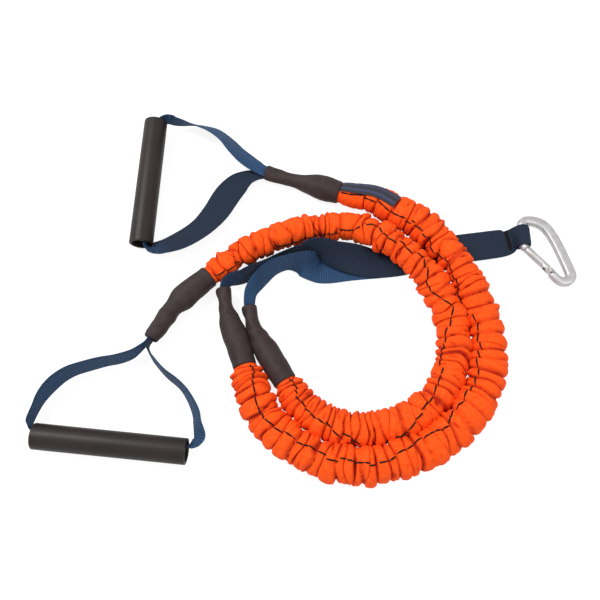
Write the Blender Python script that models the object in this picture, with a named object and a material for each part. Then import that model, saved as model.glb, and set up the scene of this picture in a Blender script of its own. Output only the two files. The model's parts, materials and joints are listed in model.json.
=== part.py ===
"""Resistance tube: two handles, two ribbed tubes, one folded anchor strap and a carabiner.

Metres, +Z up. The object lies on a flat surface at z = 0, as it does when it is put down.
"""
import math

import bmesh
import bpy
from mathutils import Matrix, Vector

# Clearances
GAP = 0.0003
FLOOR_GAP = 0.0004

# Handles: a plastic tube on a loop of webbing
GRIP_LENGTH = 0.125
GRIP_RADIUS = 0.01065
GRIP_WALL = 0.0024
GRIP_EDGE = 0.0007
GRIP_SIDES = 32
GRIP_TILT = math.radians(3.0)

# Webbing
WEBBING_WIDTH = 0.027
WEBBING_THICKNESS = 0.0016
TAIL_WIDTH = 0.0084
TAIL_THICKNESS = 0.0016
STRAP_CURL_RADIUS = 0.0072
STRAP_SEAT = 0.0065
WEBBING_COLUMNS = 5

# Elastic tubes: a latex core in a ribbed fabric cover
CORE_RADIUS = 0.0048
CORE_BORE = 0.0025
COVER_BORE = 0.0081
COVER_END_RADIUS = 0.0088
RIB_PITCH = 0.0082
TUBE_SIDES = 8
OUTER_TUBE_PEAK = 0.0145
OUTER_TUBE_VALLEY = 0.0125
INNER_TUBE_PEAK = 0.0132
INNER_TUBE_VALLEY = 0.0112
COVER_FLARE = 0.030
COVER_HEM = 0.001
TUBE_LEAD = 0.007
PINCHED_RIB = 0.0008

# End fittings, measured along the axis from the rim that faces the tube
SLEEVE_RADIUS = 0.0110
SLEEVE_WALL = 0.0009
SLEEVE_SIDES = 12
FITTING_STRAIGHT = 0.023
COVER_SEAT = 0.006
CORE_SEAT = 0.019
CRIMP_START = 0.0085
CRIMP_LENGTH = 0.008
CRIMP_WALL = 0.0005
CRIMP_BORE = 0.0082
TAIL_START = 0.0075
TAIL_CLOSES = 0.018
TAIL_STEPS = 4
TAIL_HALF_CLOSED = 0.55
MOUTH_MARGIN = 0.002
PLUG_HEAD_LENGTH = 0.0020
PLUG_STEM_LENGTH = 0.0080
PLUG_TAPER = 0.0010
PLUG_TIP_SHARE = 0.8
FITTING_SIDES = 16

# Carabiner
BAR_RADIUS = 0.0040
BAR_SIDES = 8

# Where the drawing's origin lies: under the middle of everything but the tubes
ORIGIN_X = 0.0121
ORIGIN_Y = 0.0189

UP = Vector((0.0, 0.0, 1.0))


def place(x, y, z=0.0):
    """A point of the drawing, moved so that the origin is under the middle of the object."""
    return Vector((x - ORIGIN_X, y - ORIGIN_Y, z))


def clear_scene():
    for item in list(bpy.data.objects):
        bpy.data.objects.remove(item, do_unlink=True)


def material(name, colour, roughness, metallic=0.0):
    made = bpy.data.materials.new(name)
    made.use_nodes = True
    shader = made.node_tree.nodes["Principled BSDF"]
    shader.inputs["Base Color"].default_value = (*colour, 1.0)
    shader.inputs["Roughness"].default_value = roughness
    shader.inputs["Metallic"].default_value = metallic
    return made


def add_object(name, mesh, finish, sharp=40.0):
    mesh.materials.append(finish)
    mesh.shade_smooth()
    mesh.set_sharp_from_angle(angle=math.radians(sharp))
    made = bpy.data.objects.new(name, mesh)
    bpy.context.scene.collection.objects.link(made)
    return made


def catmull(points, steps):
    """A smooth curve through points, which are tuples of any length, with steps per span."""
    result = []
    last = len(points) - 1
    for index in range(last):
        before = points[max(index - 1, 0)]
        start = points[index]
        end = points[index + 1]
        after = points[min(index + 2, last)]
        for step in range(steps):
            t = step / steps
            result.append(tuple(
                0.5 * (2 * b + (c - a) * t + (2 * a - 5 * b + 4 * c - d) * t ** 2
                       + (3 * b - a - 3 * c + d) * t ** 3)
                for a, b, c, d in zip(before, start, end, after)))
    result.append(tuple(points[last]))
    return result


class Route:
    """A smooth line through points, measured by its length."""

    def __init__(self, points, steps=12):
        self.points = [Vector(p) for p in catmull([tuple(p) for p in points], steps)]
        self.marks = [0.0]
        for first, second in zip(self.points, self.points[1:]):
            self.marks.append(self.marks[-1] + (second - first).length)
        self.length = self.marks[-1]

    def at(self, distance):
        distance = min(max(distance, 0.0), self.length)
        index = 1
        while index < len(self.marks) - 1 and self.marks[index] < distance:
            index += 1
        low, high = self.marks[index - 1], self.marks[index]
        share = (distance - low) / (high - low)
        return self.points[index - 1].lerp(self.points[index], share)

    def direction(self, distance, reach=0.0015):
        return (self.at(distance + reach) - self.at(distance - reach)).normalized()

    def frame(self, distance):
        """The point, the way along, the level way across and the way up at a distance."""
        along = self.direction(distance)
        across = UP.cross(along).normalized()
        return self.at(distance), along, across, along.cross(across)


def ellipse(route, distance, half_width, half_height, sides):
    """Points round the route at a distance, with a flat side down."""
    point, _, across, rise = route.frame(distance)
    ring = []
    for index in range(sides):
        angle = 2 * math.pi * (index + 0.5) / sides
        ring.append(point + across * (half_width * math.cos(angle))
                    + rise * (half_height * math.sin(angle)))
    return ring


def loft(name, outer, finish, inner=None, sharp=40.0):
    """A closed skin over rings of points: a solid bar, or a pipe where inner rings are given."""
    work = bmesh.new()

    def skin(rings):
        rows = [[work.verts.new(p) for p in ring] for ring in rings]
        for row, following in zip(rows, rows[1:]):
            count = len(row)
            for index in range(count):
                after = (index + 1) % count
                work.faces.new((row[index], row[after], following[after], following[index]))
        return rows

    rows = skin(outer)
    if inner:
        bore = skin(inner)
        for rim, hole in ((rows[0], bore[0]), (rows[-1], bore[-1])):
            count = len(rim)
            for index in range(count):
                after = (index + 1) % count
                work.faces.new((rim[index], rim[after], hole[after], hole[index]))
    else:
        work.faces.new(rows[0])
        work.faces.new(rows[-1])
    bmesh.ops.recalc_face_normals(work, faces=work.faces)
    mesh = bpy.data.meshes.new(name)
    work.to_mesh(mesh)
    work.free()
    return add_object(name, mesh, finish, sharp)


class Fitting:
    """Where a tube's end and two webbing tails are held in one sleeve."""

    def __init__(self, rim, way, bend, widths, heights, turned):
        self.rim = place(*rim)
        self.way = Vector((*way, 0.0)).normalized()
        straight = [self.rim + self.way * (FITTING_STRAIGHT * share) for share in (0, 0.33, 0.67, 1)]
        self.route = Route(straight + [place(*p) for p in bend])
        self.widths = widths
        self.heights = heights
        self.turned = turned

    def along(self, distance):
        """A point on the straight part of the axis; negative distances lie out in the tube."""
        return self.rim + self.way * distance

    def mouth(self):
        return self.route.at(self.route.length)

    def tail(self, side, alone=False):
        """Stations of a webbing tail, from the crimp out to the sleeve's mouth."""
        over_core = CORE_RADIUS + GAP + TAIL_THICKNESS / 2
        beside = 0.0 if alone else GAP + TAIL_THICKNESS / 2
        length = self.route.length
        stations = []
        close = CORE_SEAT + TAIL_CLOSES
        free = length - MOUTH_MARGIN - close
        places = [(TAIL_START, over_core), (CORE_SEAT + PLUG_HEAD_LENGTH + GAP, over_core),
                  (CORE_SEAT + TAIL_CLOSES * TAIL_HALF_CLOSED, (over_core + beside) / 2)]
        places += [(close + free * step / TAIL_STEPS, beside) for step in range(TAIL_STEPS + 1)]
        for distance, aside in places:
            point, _, across, rise = self.route.frame(distance)
            offset = across if self.turned else rise
            edge = UP if self.turned else across
            stations.append(Station(point + offset * (side * aside), edge, TAIL_WIDTH,
                                    TAIL_THICKNESS))
        return stations


HANDLE_FITTING_1 = Fitting(
    (0.0365, 0.1015, 0.0114), (-0.949, 0.316),
    [(0.0040, 0.1122, 0.0100), (-0.0080, 0.1160, 0.0092), (-0.0200, 0.1205, 0.0090),
     (-0.0318, 0.1244, 0.0090)],
    widths=[0.0110, 0.0112, 0.0110, 0.0098, 0.0078, 0.0068, 0.0070, 0.0080],
    heights=[0.0108, 0.0110, 0.0108, 0.0094, 0.0070, 0.0058, 0.0055, 0.0056], turned=False)
HANDLE_FITTING_2 = Fitting(
    (-0.0795, 0.0182, 0.0112), (-0.745, -0.666),
    [(-0.1050, -0.0062, 0.0112), (-0.1125, -0.0160, 0.0110), (-0.1200, -0.0280, 0.0110),
     (-0.1268, -0.0395, 0.0110)],
    widths=[0.0106, 0.0108, 0.0106, 0.0098, 0.0076, 0.0070, 0.0062, 0.0054],
    heights=[0.0106, 0.0108, 0.0106, 0.0096, 0.0084, 0.0076, 0.0070, 0.0068], turned=True)
ANCHOR_FITTING_1 = Fitting(
    (-0.0460, -0.0640, 0.0112), (-0.304, 0.953),
    [(-0.0583, -0.0290, 0.0112), (-0.0618, -0.0190, 0.0114), (-0.0645, -0.0080, 0.0119),
     (-0.0664, 0.0055, 0.0125)],
    widths=[0.0104, 0.0105, 0.0104, 0.0098, 0.0078, 0.0064, 0.0058, 0.0054],
    heights=[0.0104, 0.0105, 0.0104, 0.0098, 0.0088, 0.0078, 0.0072, 0.0070], turned=True)
ANCHOR_FITTING_2 = Fitting(
    (-0.0120, -0.0772, 0.0112), (-0.523, 0.852),
    [(-0.0290, -0.0490, 0.0112), (-0.0350, -0.0390, 0.0113), (-0.0405, -0.0260, 0.0116),
     (-0.0438, -0.0109, 0.0122)],
    widths=[0.0104, 0.0106, 0.0104, 0.0096, 0.0080, 0.0070, 0.0064, 0.0060],
    heights=[0.0104, 0.0106, 0.0104, 0.0098, 0.0088, 0.0080, 0.0074, 0.0070], turned=True)

# Free routes of the tubes' middle lines, from the handle to the anchor strap
OUTER_TUBE_POINTS = [
    (0.0660, 0.0922, 0.0148), (0.0790, 0.0858, 0.0150), (0.0930, 0.0772, 0.0152),
    (0.1075, 0.0672, 0.0160), (0.1195, 0.0550, 0.0178), (0.1300, 0.0425, 0.0192),
    (0.1394, 0.0285, 0.0190), (0.1475, 0.0130, 0.0168), (0.1540, -0.0050, 0.0152),
    (0.1585, -0.0240, 0.0148), (0.1600, -0.0440, 0.0148), (0.1575, -0.0650, 0.0148),
    (0.1508, -0.0862, 0.0148), (0.1392, -0.1050, 0.0148), (0.1222, -0.1218, 0.0148),
    (0.1020, -0.1342, 0.0148), (0.0800, -0.1420, 0.0148), (0.0580, -0.1468, 0.0148),
    (0.0360, -0.1464, 0.0148), (0.0150, -0.1412, 0.0148), (-0.0035, -0.1315, 0.0148),
    (-0.0195, -0.1175, 0.0148), (-0.0322, -0.0998, 0.0146)]
INNER_TUBE_POINTS = [
    (-0.0550, 0.0375, 0.0128), (-0.0430, 0.0442, 0.0133), (-0.0310, 0.0502, 0.0135),
    (-0.0175, 0.0556, 0.0135), (-0.0030, 0.0602, 0.0135), (0.0115, 0.0634, 0.0135),
    (0.0260, 0.0652, 0.0136), (0.0410, 0.0650, 0.0140), (0.0560, 0.0622, 0.0152),
    (0.0700, 0.0560, 0.0172), (0.0820, 0.0476, 0.0182), (0.0935, 0.0375, 0.0182),
    (0.1040, 0.0262, 0.0176), (0.1130, 0.0140, 0.0156), (0.1205, 0.0005, 0.0138),
    (0.1262, -0.0140, 0.0135), (0.1298, -0.0300, 0.0135), (0.1302, -0.0465, 0.0135),
    (0.1272, -0.0625, 0.0135), (0.1212, -0.0775, 0.0135), (0.1115, -0.0915, 0.0135),
    (0.0985, -0.1025, 0.0135), (0.0835, -0.1105, 0.0135), (0.0670, -0.1155, 0.0135),
    (0.0500, -0.1175, 0.0135), (0.0335, -0.1158, 0.0135), (0.0185, -0.1100, 0.0135),
    (0.0060, -0.1010, 0.0130)]


class Tube:
    """One elastic tube: its middle line from core end to core end, and its ribs."""

    def __init__(self, first, points, last, peak, valley):
        line = [first.along(CORE_SEAT), first.along(COVER_SEAT), first.along(0.0),
                first.along(-TUBE_LEAD), first.along(-2 * TUBE_LEAD)]
        line += [place(*p) for p in points]
        line += [last.along(-2 * TUBE_LEAD), last.along(-TUBE_LEAD), last.along(0.0),
                 last.along(COVER_SEAT), last.along(CORE_SEAT)]
        self.route = Route(line, steps=6)
        self.peak = peak
        self.valley = valley
        self.cover_start = CORE_SEAT - COVER_SEAT
        self.cover_end = self.route.length - self.cover_start

    def swell(self, distance):
        """How far the cover has opened out from its pinched end, from 0 to 1."""
        into = min(distance - self.cover_start, self.cover_end - distance) - COVER_SEAT
        share = min(max(into / COVER_FLARE, 0.0), 1.0)
        return share * share * (3 - 2 * share)

    def build_cover(self, name, finish):
        seat = COVER_SEAT + COVER_HEM
        free = self.cover_end - self.cover_start - 2 * seat
        ribs = round(free / RIB_PITCH)
        outer = [ellipse(self.route, self.cover_start, COVER_END_RADIUS, COVER_END_RADIUS, TUBE_SIDES)]
        for rib in range(2 * ribs + 1):
            distance = self.cover_start + seat + free * rib / (2 * ribs)
            full = self.peak if rib % 2 else self.valley
            radius = COVER_END_RADIUS + (full - COVER_END_RADIUS) * self.swell(distance)
            if rib % 2:
                radius += PINCHED_RIB * (1 - self.swell(distance))
            outer.append(ellipse(self.route, distance, radius, radius, TUBE_SIDES))
        outer.append(ellipse(self.route, self.cover_end, COVER_END_RADIUS, COVER_END_RADIUS, TUBE_SIDES))
        steps = round((self.cover_end - self.cover_start) / (2 * RIB_PITCH))
        inner = []
        for step in range(steps + 1):
            distance = self.cover_start + (self.cover_end - self.cover_start) * step / steps
            inner.append(ellipse(self.route, distance, COVER_BORE, COVER_BORE, TUBE_SIDES))
        return loft(name, outer, finish, inner, sharp=80.0)

    def build_core(self, name, finish):
        steps = round(self.route.length / (2 * RIB_PITCH))
        marks = [self.route.length * step / steps for step in range(steps + 1)]
        outer = [ellipse(self.route, mark, CORE_RADIUS, CORE_RADIUS, TUBE_SIDES) for mark in marks]
        bore_marks = [self.route.length * step * 2 / steps for step in range(steps // 2)]
        bore_marks.append(self.route.length)
        inner = [ellipse(self.route, mark, CORE_BORE, CORE_BORE, TUBE_SIDES) for mark in bore_marks]
        return loft(name, outer, finish, inner, sharp=80.0)


def build_sleeve(name, fitting, finish):
    """The shrunk sleeve over a tube's end and the webbing tails."""
    outer, inner = [], []
    smooth = catmull(list(zip(fitting.widths, fitting.heights)), 2)
    for index, (width, height) in enumerate(smooth):
        distance = fitting.route.length * index / (len(smooth) - 1)
        outer.append(ellipse(fitting.route, distance, width, height, SLEEVE_SIDES))
        inner.append(ellipse(fitting.route, distance, width - SLEEVE_WALL, height - SLEEVE_WALL,
                             SLEEVE_SIDES))
    return loft(name, outer, finish, inner)


def build_crimp(name, fitting, finish):
    """The metal band that binds the tails to the core."""
    outer, inner = [], []
    for distance in (CRIMP_START, CRIMP_START + CRIMP_LENGTH):
        bore, outside = CRIMP_BORE, CRIMP_BORE + CRIMP_WALL
        outer.append(ellipse(fitting.route, distance, outside, outside, FITTING_SIDES))
        inner.append(ellipse(fitting.route, distance, bore, bore, FITTING_SIDES))
    return loft(name, outer, finish, inner)


def build_plug(name, fitting, finish):
    """The stopper in the open end of the latex core."""
    stem = CORE_BORE - GAP
    head = CORE_RADIUS - GAP
    seat = CORE_SEAT + GAP
    rings = []
    tip = CORE_SEAT - PLUG_STEM_LENGTH
    for distance, radius in ((tip, stem * PLUG_TIP_SHARE), (tip + PLUG_TAPER, stem), (seat, stem),
                             (seat, head), (seat + PLUG_HEAD_LENGTH - GAP, head)):
        rings.append(ellipse(fitting.route, distance, radius, radius, TUBE_SIDES))
    return loft(name, rings, finish)


class Station:
    """One place along a strip of webbing."""

    def __init__(self, point, edge, width=WEBBING_WIDTH, thickness=WEBBING_THICKNESS, curl=0.0):
        self.point = point
        self.edge = edge
        self.width = width
        self.thickness = thickness
        self.curl = curl

    def row(self):
        return (*self.point, *self.edge, self.width, self.thickness, self.curl)


def rolled(point, along, roll, width, thickness, curl):
    """A station whose width leans by roll from level, lifted where it would go under the floor."""
    level = UP.cross(along).normalized()
    angle = math.radians(roll)
    edge = level * math.cos(angle) + UP * math.sin(angle)
    half = width / 2
    if curl:
        half = math.sin(min(curl * half, math.pi / 2)) / curl
    reach = half * abs(math.sin(angle)) + thickness / 2 * abs(math.cos(angle)) + FLOOR_GAP
    raised = Vector((point.x, point.y, max(point.z, reach)))
    return Station(raised, edge, width, thickness, curl)


def ribbon(name, stations, steps, finish):
    """A strip of webbing through stations."""
    rows = catmull([station.row() for station in stations], steps)
    points = [Vector(row[:3]) for row in rows]
    rings = []
    for index, row in enumerate(rows):
        after = points[min(index + 1, len(points) - 1)]
        before = points[max(index - 1, 0)]
        along = (after - before).normalized()
        edge = Vector(row[3:6])
        edge = (edge - along * edge.dot(along)).normalized()
        face = along.cross(edge)
        width, thickness, curl = row[6:9]
        top, bottom = [], []
        for column in range(WEBBING_COLUMNS):
            aside = (column / (WEBBING_COLUMNS - 1) - 0.5) * width
            if abs(curl) > 1.0:
                turn = curl * aside
                centre = points[index] + edge * (math.sin(turn) / curl) \
                    + face * ((1 - math.cos(turn)) / curl)
                normal = face * math.cos(turn) - edge * math.sin(turn)
            else:
                centre = points[index] + edge * aside
                normal = face
            top.append(centre + normal * (thickness / 2))
            bottom.append(centre - normal * (thickness / 2))
        rings.append(top + bottom[::-1])
    return loft(name, rings, finish)


class Grip:
    """The place of one grip: a tube along its axis, which the webbing runs through."""

    def __init__(self, end, way, tilt, inner_side):
        rise = math.sin(tilt)
        level = Vector((*way, 0.0)).normalized() * math.cos(tilt)
        self.way = level + UP * rise
        lowest = GRIP_RADIUS * math.cos(tilt)
        self.start = place(*end, lowest)
        self.finish = self.start + self.way * GRIP_LENGTH
        self.inner = (Vector((*inner_side, 0.0)) - self.way * Vector((*inner_side, 0.0)).dot(self.way))
        self.inner.normalize()

    def exit(self, share, seat=STRAP_SEAT):
        """Where the webbing's middle lies in the bore, at a share of the length."""
        centre = self.start.lerp(self.finish, share)
        return centre + self.inner * seat

    def build(self, name, finish):
        bore = GRIP_RADIUS - GRIP_WALL
        length = GRIP_LENGTH
        side = self.way.cross(UP).normalized()
        rise = side.cross(self.way)

        def ring(distance, radius):
            centre = self.start + self.way * distance
            return [centre + side * (radius * math.cos(angle)) + rise * (radius * math.sin(angle))
                    for angle in (2 * math.pi * (k + 0.5) / GRIP_SIDES for k in range(GRIP_SIDES))]

        outer = [ring(0.0, GRIP_RADIUS - GRIP_EDGE), ring(GRIP_EDGE, GRIP_RADIUS),
                 ring(length - GRIP_EDGE, GRIP_RADIUS), ring(length, GRIP_RADIUS - GRIP_EDGE)]
        inner = [ring(0.0, bore), ring(length, bore)]
        return loft(name, outer, finish, inner, sharp=25.0)


GRIP_1 = Grip((-0.1424, 0.0496), (0.0055, 0.1249), GRIP_TILT, (1.0, 0.0))
GRIP_2 = Grip((-0.2151, -0.1217), (0.1244, -0.0124), 0.0, (0.1, 1.0))

# Legs of the handles' webbing, from the sleeve's mouth to the grip's end. Each row: the share of
# the straight way, the distance to its left, the height, the roll in degrees and the width.
FULL = WEBBING_WIDTH
LEG_1_FAR = [
    (0.055, -0.0002, 0.0102, 2, 0.0128), (0.105, -0.0016, 0.0100, 8, 0.0170),
    (0.16, -0.0025, 0.0097, 18, 0.0210), (0.23, -0.0046, 0.0096, 28, 0.0250),
    (0.33, -0.0082, 0.0097, 38, FULL),
    (0.445, -0.0136, 0.0097, 41, FULL), (0.585, -0.0172, 0.0100, 43, FULL),
    (0.69, -0.0158, 0.0115, 50, FULL), (0.785, -0.0130, 0.0130, 60, 0.0262),
    (0.865, -0.0100, 0.0142, 72, 0.0235), (0.935, -0.0075, 0.0152, 82, 0.0200)]
LEG_1_NEAR = [
    (0.06, -0.0040, 0.0068, 178, 0.0100), (0.11, -0.0060, 0.0064, 168, 0.0168),
    (0.13, -0.0062, 0.0060, 160, 0.0215), (0.21, -0.0056, 0.0062, 157, 0.0260),
    (0.32, -0.0020, 0.0060, 159, FULL),
    (0.465, 0.0066, 0.0062, 158, FULL), (0.59, 0.0104, 0.0062, 158, FULL),
    (0.70, 0.0120, 0.0066, 155, FULL), (0.80, 0.0116, 0.0074, 149, 0.0262),
    (0.875, 0.0096, 0.0080, 144, 0.0232), (0.94, 0.0072, 0.0086, 139, 0.0200)]
LEG_2_LEFT = [
    (0.045, 0.0006, 0.0112, 90, 0.0112), (0.11, 0.0014, 0.0120, 90, 0.0170),
    (0.185, 0.0008, 0.0, 90, 0.0235), (0.273, -0.0026, 0.0, 90, FULL),
    (0.364, -0.0087, 0.0, 91, FULL), (0.475, -0.0147, 0.0, 92, FULL),
    (0.571, -0.0192, 0.0, 92, FULL), (0.658, -0.0208, 0.0, 92, FULL),
    (0.747, -0.0200, 0.0, 92, FULL), (0.835, -0.0176, 0.0128, 90, 0.0250),
    (0.91, -0.0138, 0.0118, 88, 0.0215)]
LEG_2_RIGHT = [
    (0.05, -0.0041, 0.0112, 90, 0.0112), (0.12, -0.0046, 0.0120, 92, 0.0170),
    (0.20, -0.0032, 0.0, 94, 0.0235), (0.355, 0.0020, 0.0, 94, FULL),
    (0.486, 0.0090, 0.0, 96, FULL), (0.589, 0.0125, 0.0, 100, FULL),
    (0.702, 0.0141, 0.0, 102, FULL), (0.81, 0.0150, 0.0134, 100, 0.0258),
    (0.885, 0.0150, 0.0122, 98, 0.0225), (0.945, 0.0138, 0.0114, 94, 0.0190)]

# How the webbing turns out of a grip's end: the distance beyond the end, the distance towards
# the sleeve, the width and the roll
BORE_WIDTH = 0.0153
END_WIDTH = 0.0122
END_SEAT = 0.0042
END_SHARE = 0.015
CURL_SHARES = (0.2, 0.5, 0.8)
TURN_FAR = [(0.0018, 0.0002, 0.0122, 90), (0.0036, 0.0042, 0.0146, 90),
            (0.0040, 0.0082, 0.0168, 88)]
TURN_NEAR = [(0.0020, -0.0012, 0.0120, 100), (0.0046, 0.0026, 0.0146, 118),
             (0.0054, 0.0074, 0.0172, 133)]
TURN_LEFT = [(0.0018, 0.0002, 0.0122, 90), (0.0044, 0.0038, 0.0150, 90),
             (0.0058, 0.0080, 0.0178, 90)]
TURN_RIGHT = [(0.0018, 0.0002, 0.0122, 90), (0.0036, 0.0042, 0.0146, 92),
              (0.0040, 0.0082, 0.0168, 93)]


def leg_stations(mouth, goal, rows, outward):
    """Stations of one leg; outward is True where the path runs from the mouth to the grip."""
    way = goal - mouth
    way.z = 0.0
    left = UP.cross(way.normalized())
    spots = [mouth + way * row[0] + left * row[1] for row in rows]
    stations = []
    for index, (spot, row) in enumerate(zip(spots, rows)):
        before = spots[index - 1] if index else mouth
        after = spots[index + 1] if index + 1 < len(spots) else goal
        along = after - before
        along.z = 0.0
        if not outward:
            along = -along
        point = Vector((spot.x, spot.y, row[2]))
        stations.append(rolled(point, along.normalized(), row[3], row[4], WEBBING_THICKNESS, 0.0))
    return stations


def turn_stations(grip, share, rows, outward):
    """Stations where the webbing bends round a grip's rim, from the bore outwards."""
    out = grip.way if share else -grip.way
    flat = Vector((out.x, out.y, 0.0)).normalized()
    start = grip.exit(share, END_SEAT)
    stations = [Station(grip.exit(abs(share - END_SHARE), END_SEAT), UP, END_WIDTH)]
    ways = (flat, flat + grip.inner, grip.inner)
    for (beyond, aside, width, roll), way in zip(rows, ways):
        along = Vector((way.x, way.y, 0.0)).normalized()
        point = start + flat * beyond + grip.inner * aside
        stations.append(rolled(point, -along if outward else along, roll, width,
                               WEBBING_THICKNESS, 0.0))
    return stations


def handle_strap(name, fitting, grip, first_leg, second_leg, first_turn, second_turn, first_share,
                 finish):
    """One strip: out of the sleeve, through the grip and back into the sleeve."""
    full = 1 / STRAP_CURL_RADIUS
    mouth = fitting.mouth()
    far, near = first_share, 1 - first_share

    side = -1 if fitting.turned else 1
    stations = fitting.tail(side)
    stations += leg_stations(mouth, grip.exit(far), first_leg, True)
    stations += turn_stations(grip, far, first_turn, True)[::-1]
    for share in CURL_SHARES:
        spot = abs(far - share)
        stations.append(Station(grip.exit(spot), UP, BORE_WIDTH, curl=full))
    stations += turn_stations(grip, near, second_turn, False)
    stations += leg_stations(mouth, grip.exit(near), second_leg, False)[::-1]
    stations += fitting.tail(-side)[::-1]
    return ribbon(name, stations, 1, finish)


# Anchor strap: the place of its middle line, its roll in degrees and its width
LOOP_WIDTH = 0.0180
LAYER_LOW = FLOOR_GAP + WEBBING_THICKNESS / 2
LAYER_HIGH = LAYER_LOW + WEBBING_THICKNESS + GAP
SHARED_LEG = [
    (0.0895, 0.0362, FULL), (0.1070, 0.0410, FULL), (0.1262, 0.0458, FULL),
    (0.1450, 0.0490, FULL), (0.1627, 0.0514, FULL), (0.1800, 0.0540, 0.0265),
    (0.1880, 0.0556, 0.0245)]
ANCHOR_LEG_1 = [
    (-0.0652, 0.0102, 0.0126, 90, 0.0125), (-0.0595, 0.0146, 0.0130, 90, 0.0175),
    (-0.0505, 0.0180, 0.0, 90, 0.0235), (-0.0405, 0.0220, 0.0, 90, FULL),
    (-0.0295, 0.0275, 0.0, 90, FULL), (-0.0180, 0.0335, 0.0, 90, FULL),
    (-0.0050, 0.0385, 0.0, 87, FULL), (0.0050, 0.0410, 0.0, 84, FULL),
    (0.0125, 0.0422, 0.0176, 79, FULL), (0.0205, 0.0408, 0.0190, 69, FULL),
    (0.0290, 0.0378, 0.0168, 58, FULL), (0.0380, 0.0360, 0.0142, 46, FULL),
    (0.0493, 0.0349, 0.0102, 28, FULL), (0.0600, 0.0344, 0.0060, 10, FULL),
    (0.0700, 0.0342, LAYER_HIGH, 0, FULL)]
ANCHOR_LEG_2 = [
    (-0.0434, -0.0004, 0.0126, 108, 0.0150), (-0.0408, 0.0076, 0.0, 114, 0.0215),
    (-0.0340, 0.0172, 0.0, 106, 0.0255), (-0.0250, 0.0252, 0.0, 99, FULL),
    (-0.0134, 0.0296, 0.0, 96, FULL), (-0.0040, 0.0305, 0.0, 104, 0.0265),
    (0.0045, 0.0302, 0.0, 126, 0.0235), (0.0112, 0.0284, 0.0, 160, 0.0200),
    (0.0175, 0.0264, LAYER_LOW, 180, 0.0205), (0.0250, 0.0272, LAYER_LOW, 180, 0.0235),
    (0.0330, 0.0290, LAYER_LOW, 180, 0.0256), (0.0430, 0.0312, LAYER_LOW, 180, FULL),
    (0.0560, 0.0326, LAYER_LOW, 180, FULL), (0.0700, 0.0338, LAYER_LOW, 180, FULL)]

# Carabiner, drawn flat: the middle line of its bar from the nose to the gate's pivot
BAR_LOOP_X = 0.2014
BAR_BEND = 0.0060
NOSE_BEND_Y = 0.0511
CORNER_BEND_Y = 0.0688


def arc(x, y, radius, start, end, steps):
    angles = [math.radians(start + (end - start) * step / steps) for step in range(steps + 1)]
    return [(x + radius * math.cos(angle), y + radius * math.sin(angle)) for angle in angles]


CARABINER_LINE = arc(BAR_LOOP_X + BAR_BEND, NOSE_BEND_Y, BAR_BEND, 222.6, 180, 3)
CARABINER_LINE += arc(BAR_LOOP_X + BAR_BEND, CORNER_BEND_Y, BAR_BEND, 180, 90, 4)
CARABINER_LINE += [
    (0.2130, 0.0745), (0.2188, 0.0726), (0.2236, 0.0690), (0.2274, 0.0634),
    (0.2310, 0.0560), (0.2343, 0.0468),
    (0.2374, 0.0369), (0.2400, 0.0280), (0.2412, 0.0216), (0.2382, 0.0168),
    (0.2325, 0.0155), (0.2277, 0.0182), (0.2246, 0.0222)]
PIVOT = (0.2216, 0.0268)
LOOP_GAP = 0.0012
LOOP_RADIUS = BAR_RADIUS + LOOP_GAP + WEBBING_THICKNESS / 2
BAR_LOOP_Z = LOOP_RADIUS + LAYER_LOW
FAR_REACH = 0.0395
BAR_FLAT = BAR_RADIUS * math.cos(math.pi / BAR_SIDES)
CARABINER_TILT = math.asin((BAR_LOOP_Z - BAR_FLAT) / FAR_REACH)
LOOP_MIDDLE_Y = 0.0592

# Where the strap narrows into its loop: a place, and the way across the webbing there
LOOP_TURNS = (135, 90, 45, 0, -45, -90)
TOP_ENTRY = (0.1922, 0.0578)
TOP_ENTRY_EDGE = Vector((-0.33, 0.94, 0.0))
LOW_ENTRY = (0.1945, 0.0578)
LOW_ENTRY_EDGE = Vector((-0.24, 0.97, 0.0))


def anchor_strap(name, finish):
    """One folded strip from one tube's sleeve, round the carabiner, back to the other sleeve."""
    def leg(rows, mouth, goal, outward):
        points = [place(*row[:3]) for row in rows]
        made = []
        for index, (point, row) in enumerate(zip(points, rows)):
            before = points[index - 1] if index else mouth
            after = points[index + 1] if index + 1 < len(points) else goal
            along = after - before if outward else before - after
            along.z = 0.0
            made.append(rolled(point, along.normalized(), row[3], row[4], WEBBING_THICKNESS, 0.0))
        return made

    first, second = ANCHOR_FITTING_1, ANCHOR_FITTING_2
    join = place(*SHARED_LEG[0][:2], 0.0)
    top = [(x, y, LAYER_HIGH, 0, width) for x, y, width in SHARED_LEG]
    low = [(x, y, LAYER_LOW, 180, width) for x, y, width in SHARED_LEG]
    bar = place(BAR_LOOP_X, LOOP_MIDDLE_Y, BAR_LOOP_Z)
    stations = first.tail(1, alone=True)
    stations += leg(ANCHOR_LEG_1, first.mouth(), join, True)
    stations += leg(top, place(*ANCHOR_LEG_1[-1][:2], 0.0), bar, True)
    across = Vector((0.0, 1.0, 0.0))
    stations.append(Station(place(*TOP_ENTRY, LAYER_HIGH), TOP_ENTRY_EDGE, LOOP_WIDTH))
    for turn in LOOP_TURNS:
        angle = math.radians(turn)
        point = bar + Vector((math.cos(angle), 0.0, math.sin(angle))) * LOOP_RADIUS
        stations.append(Station(point, across, LOOP_WIDTH))
    stations.append(Station(place(*LOW_ENTRY, LAYER_LOW), LOW_ENTRY_EDGE, LOOP_WIDTH))
    stations += leg(low, place(*ANCHOR_LEG_2[-1][:2], 0.0), bar, False)[::-1]
    stations += leg(ANCHOR_LEG_2, second.mouth(), join, False)[::-1]
    stations += second.tail(1, alone=True)[::-1]
    return ribbon(name, stations, 1, finish)


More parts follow.
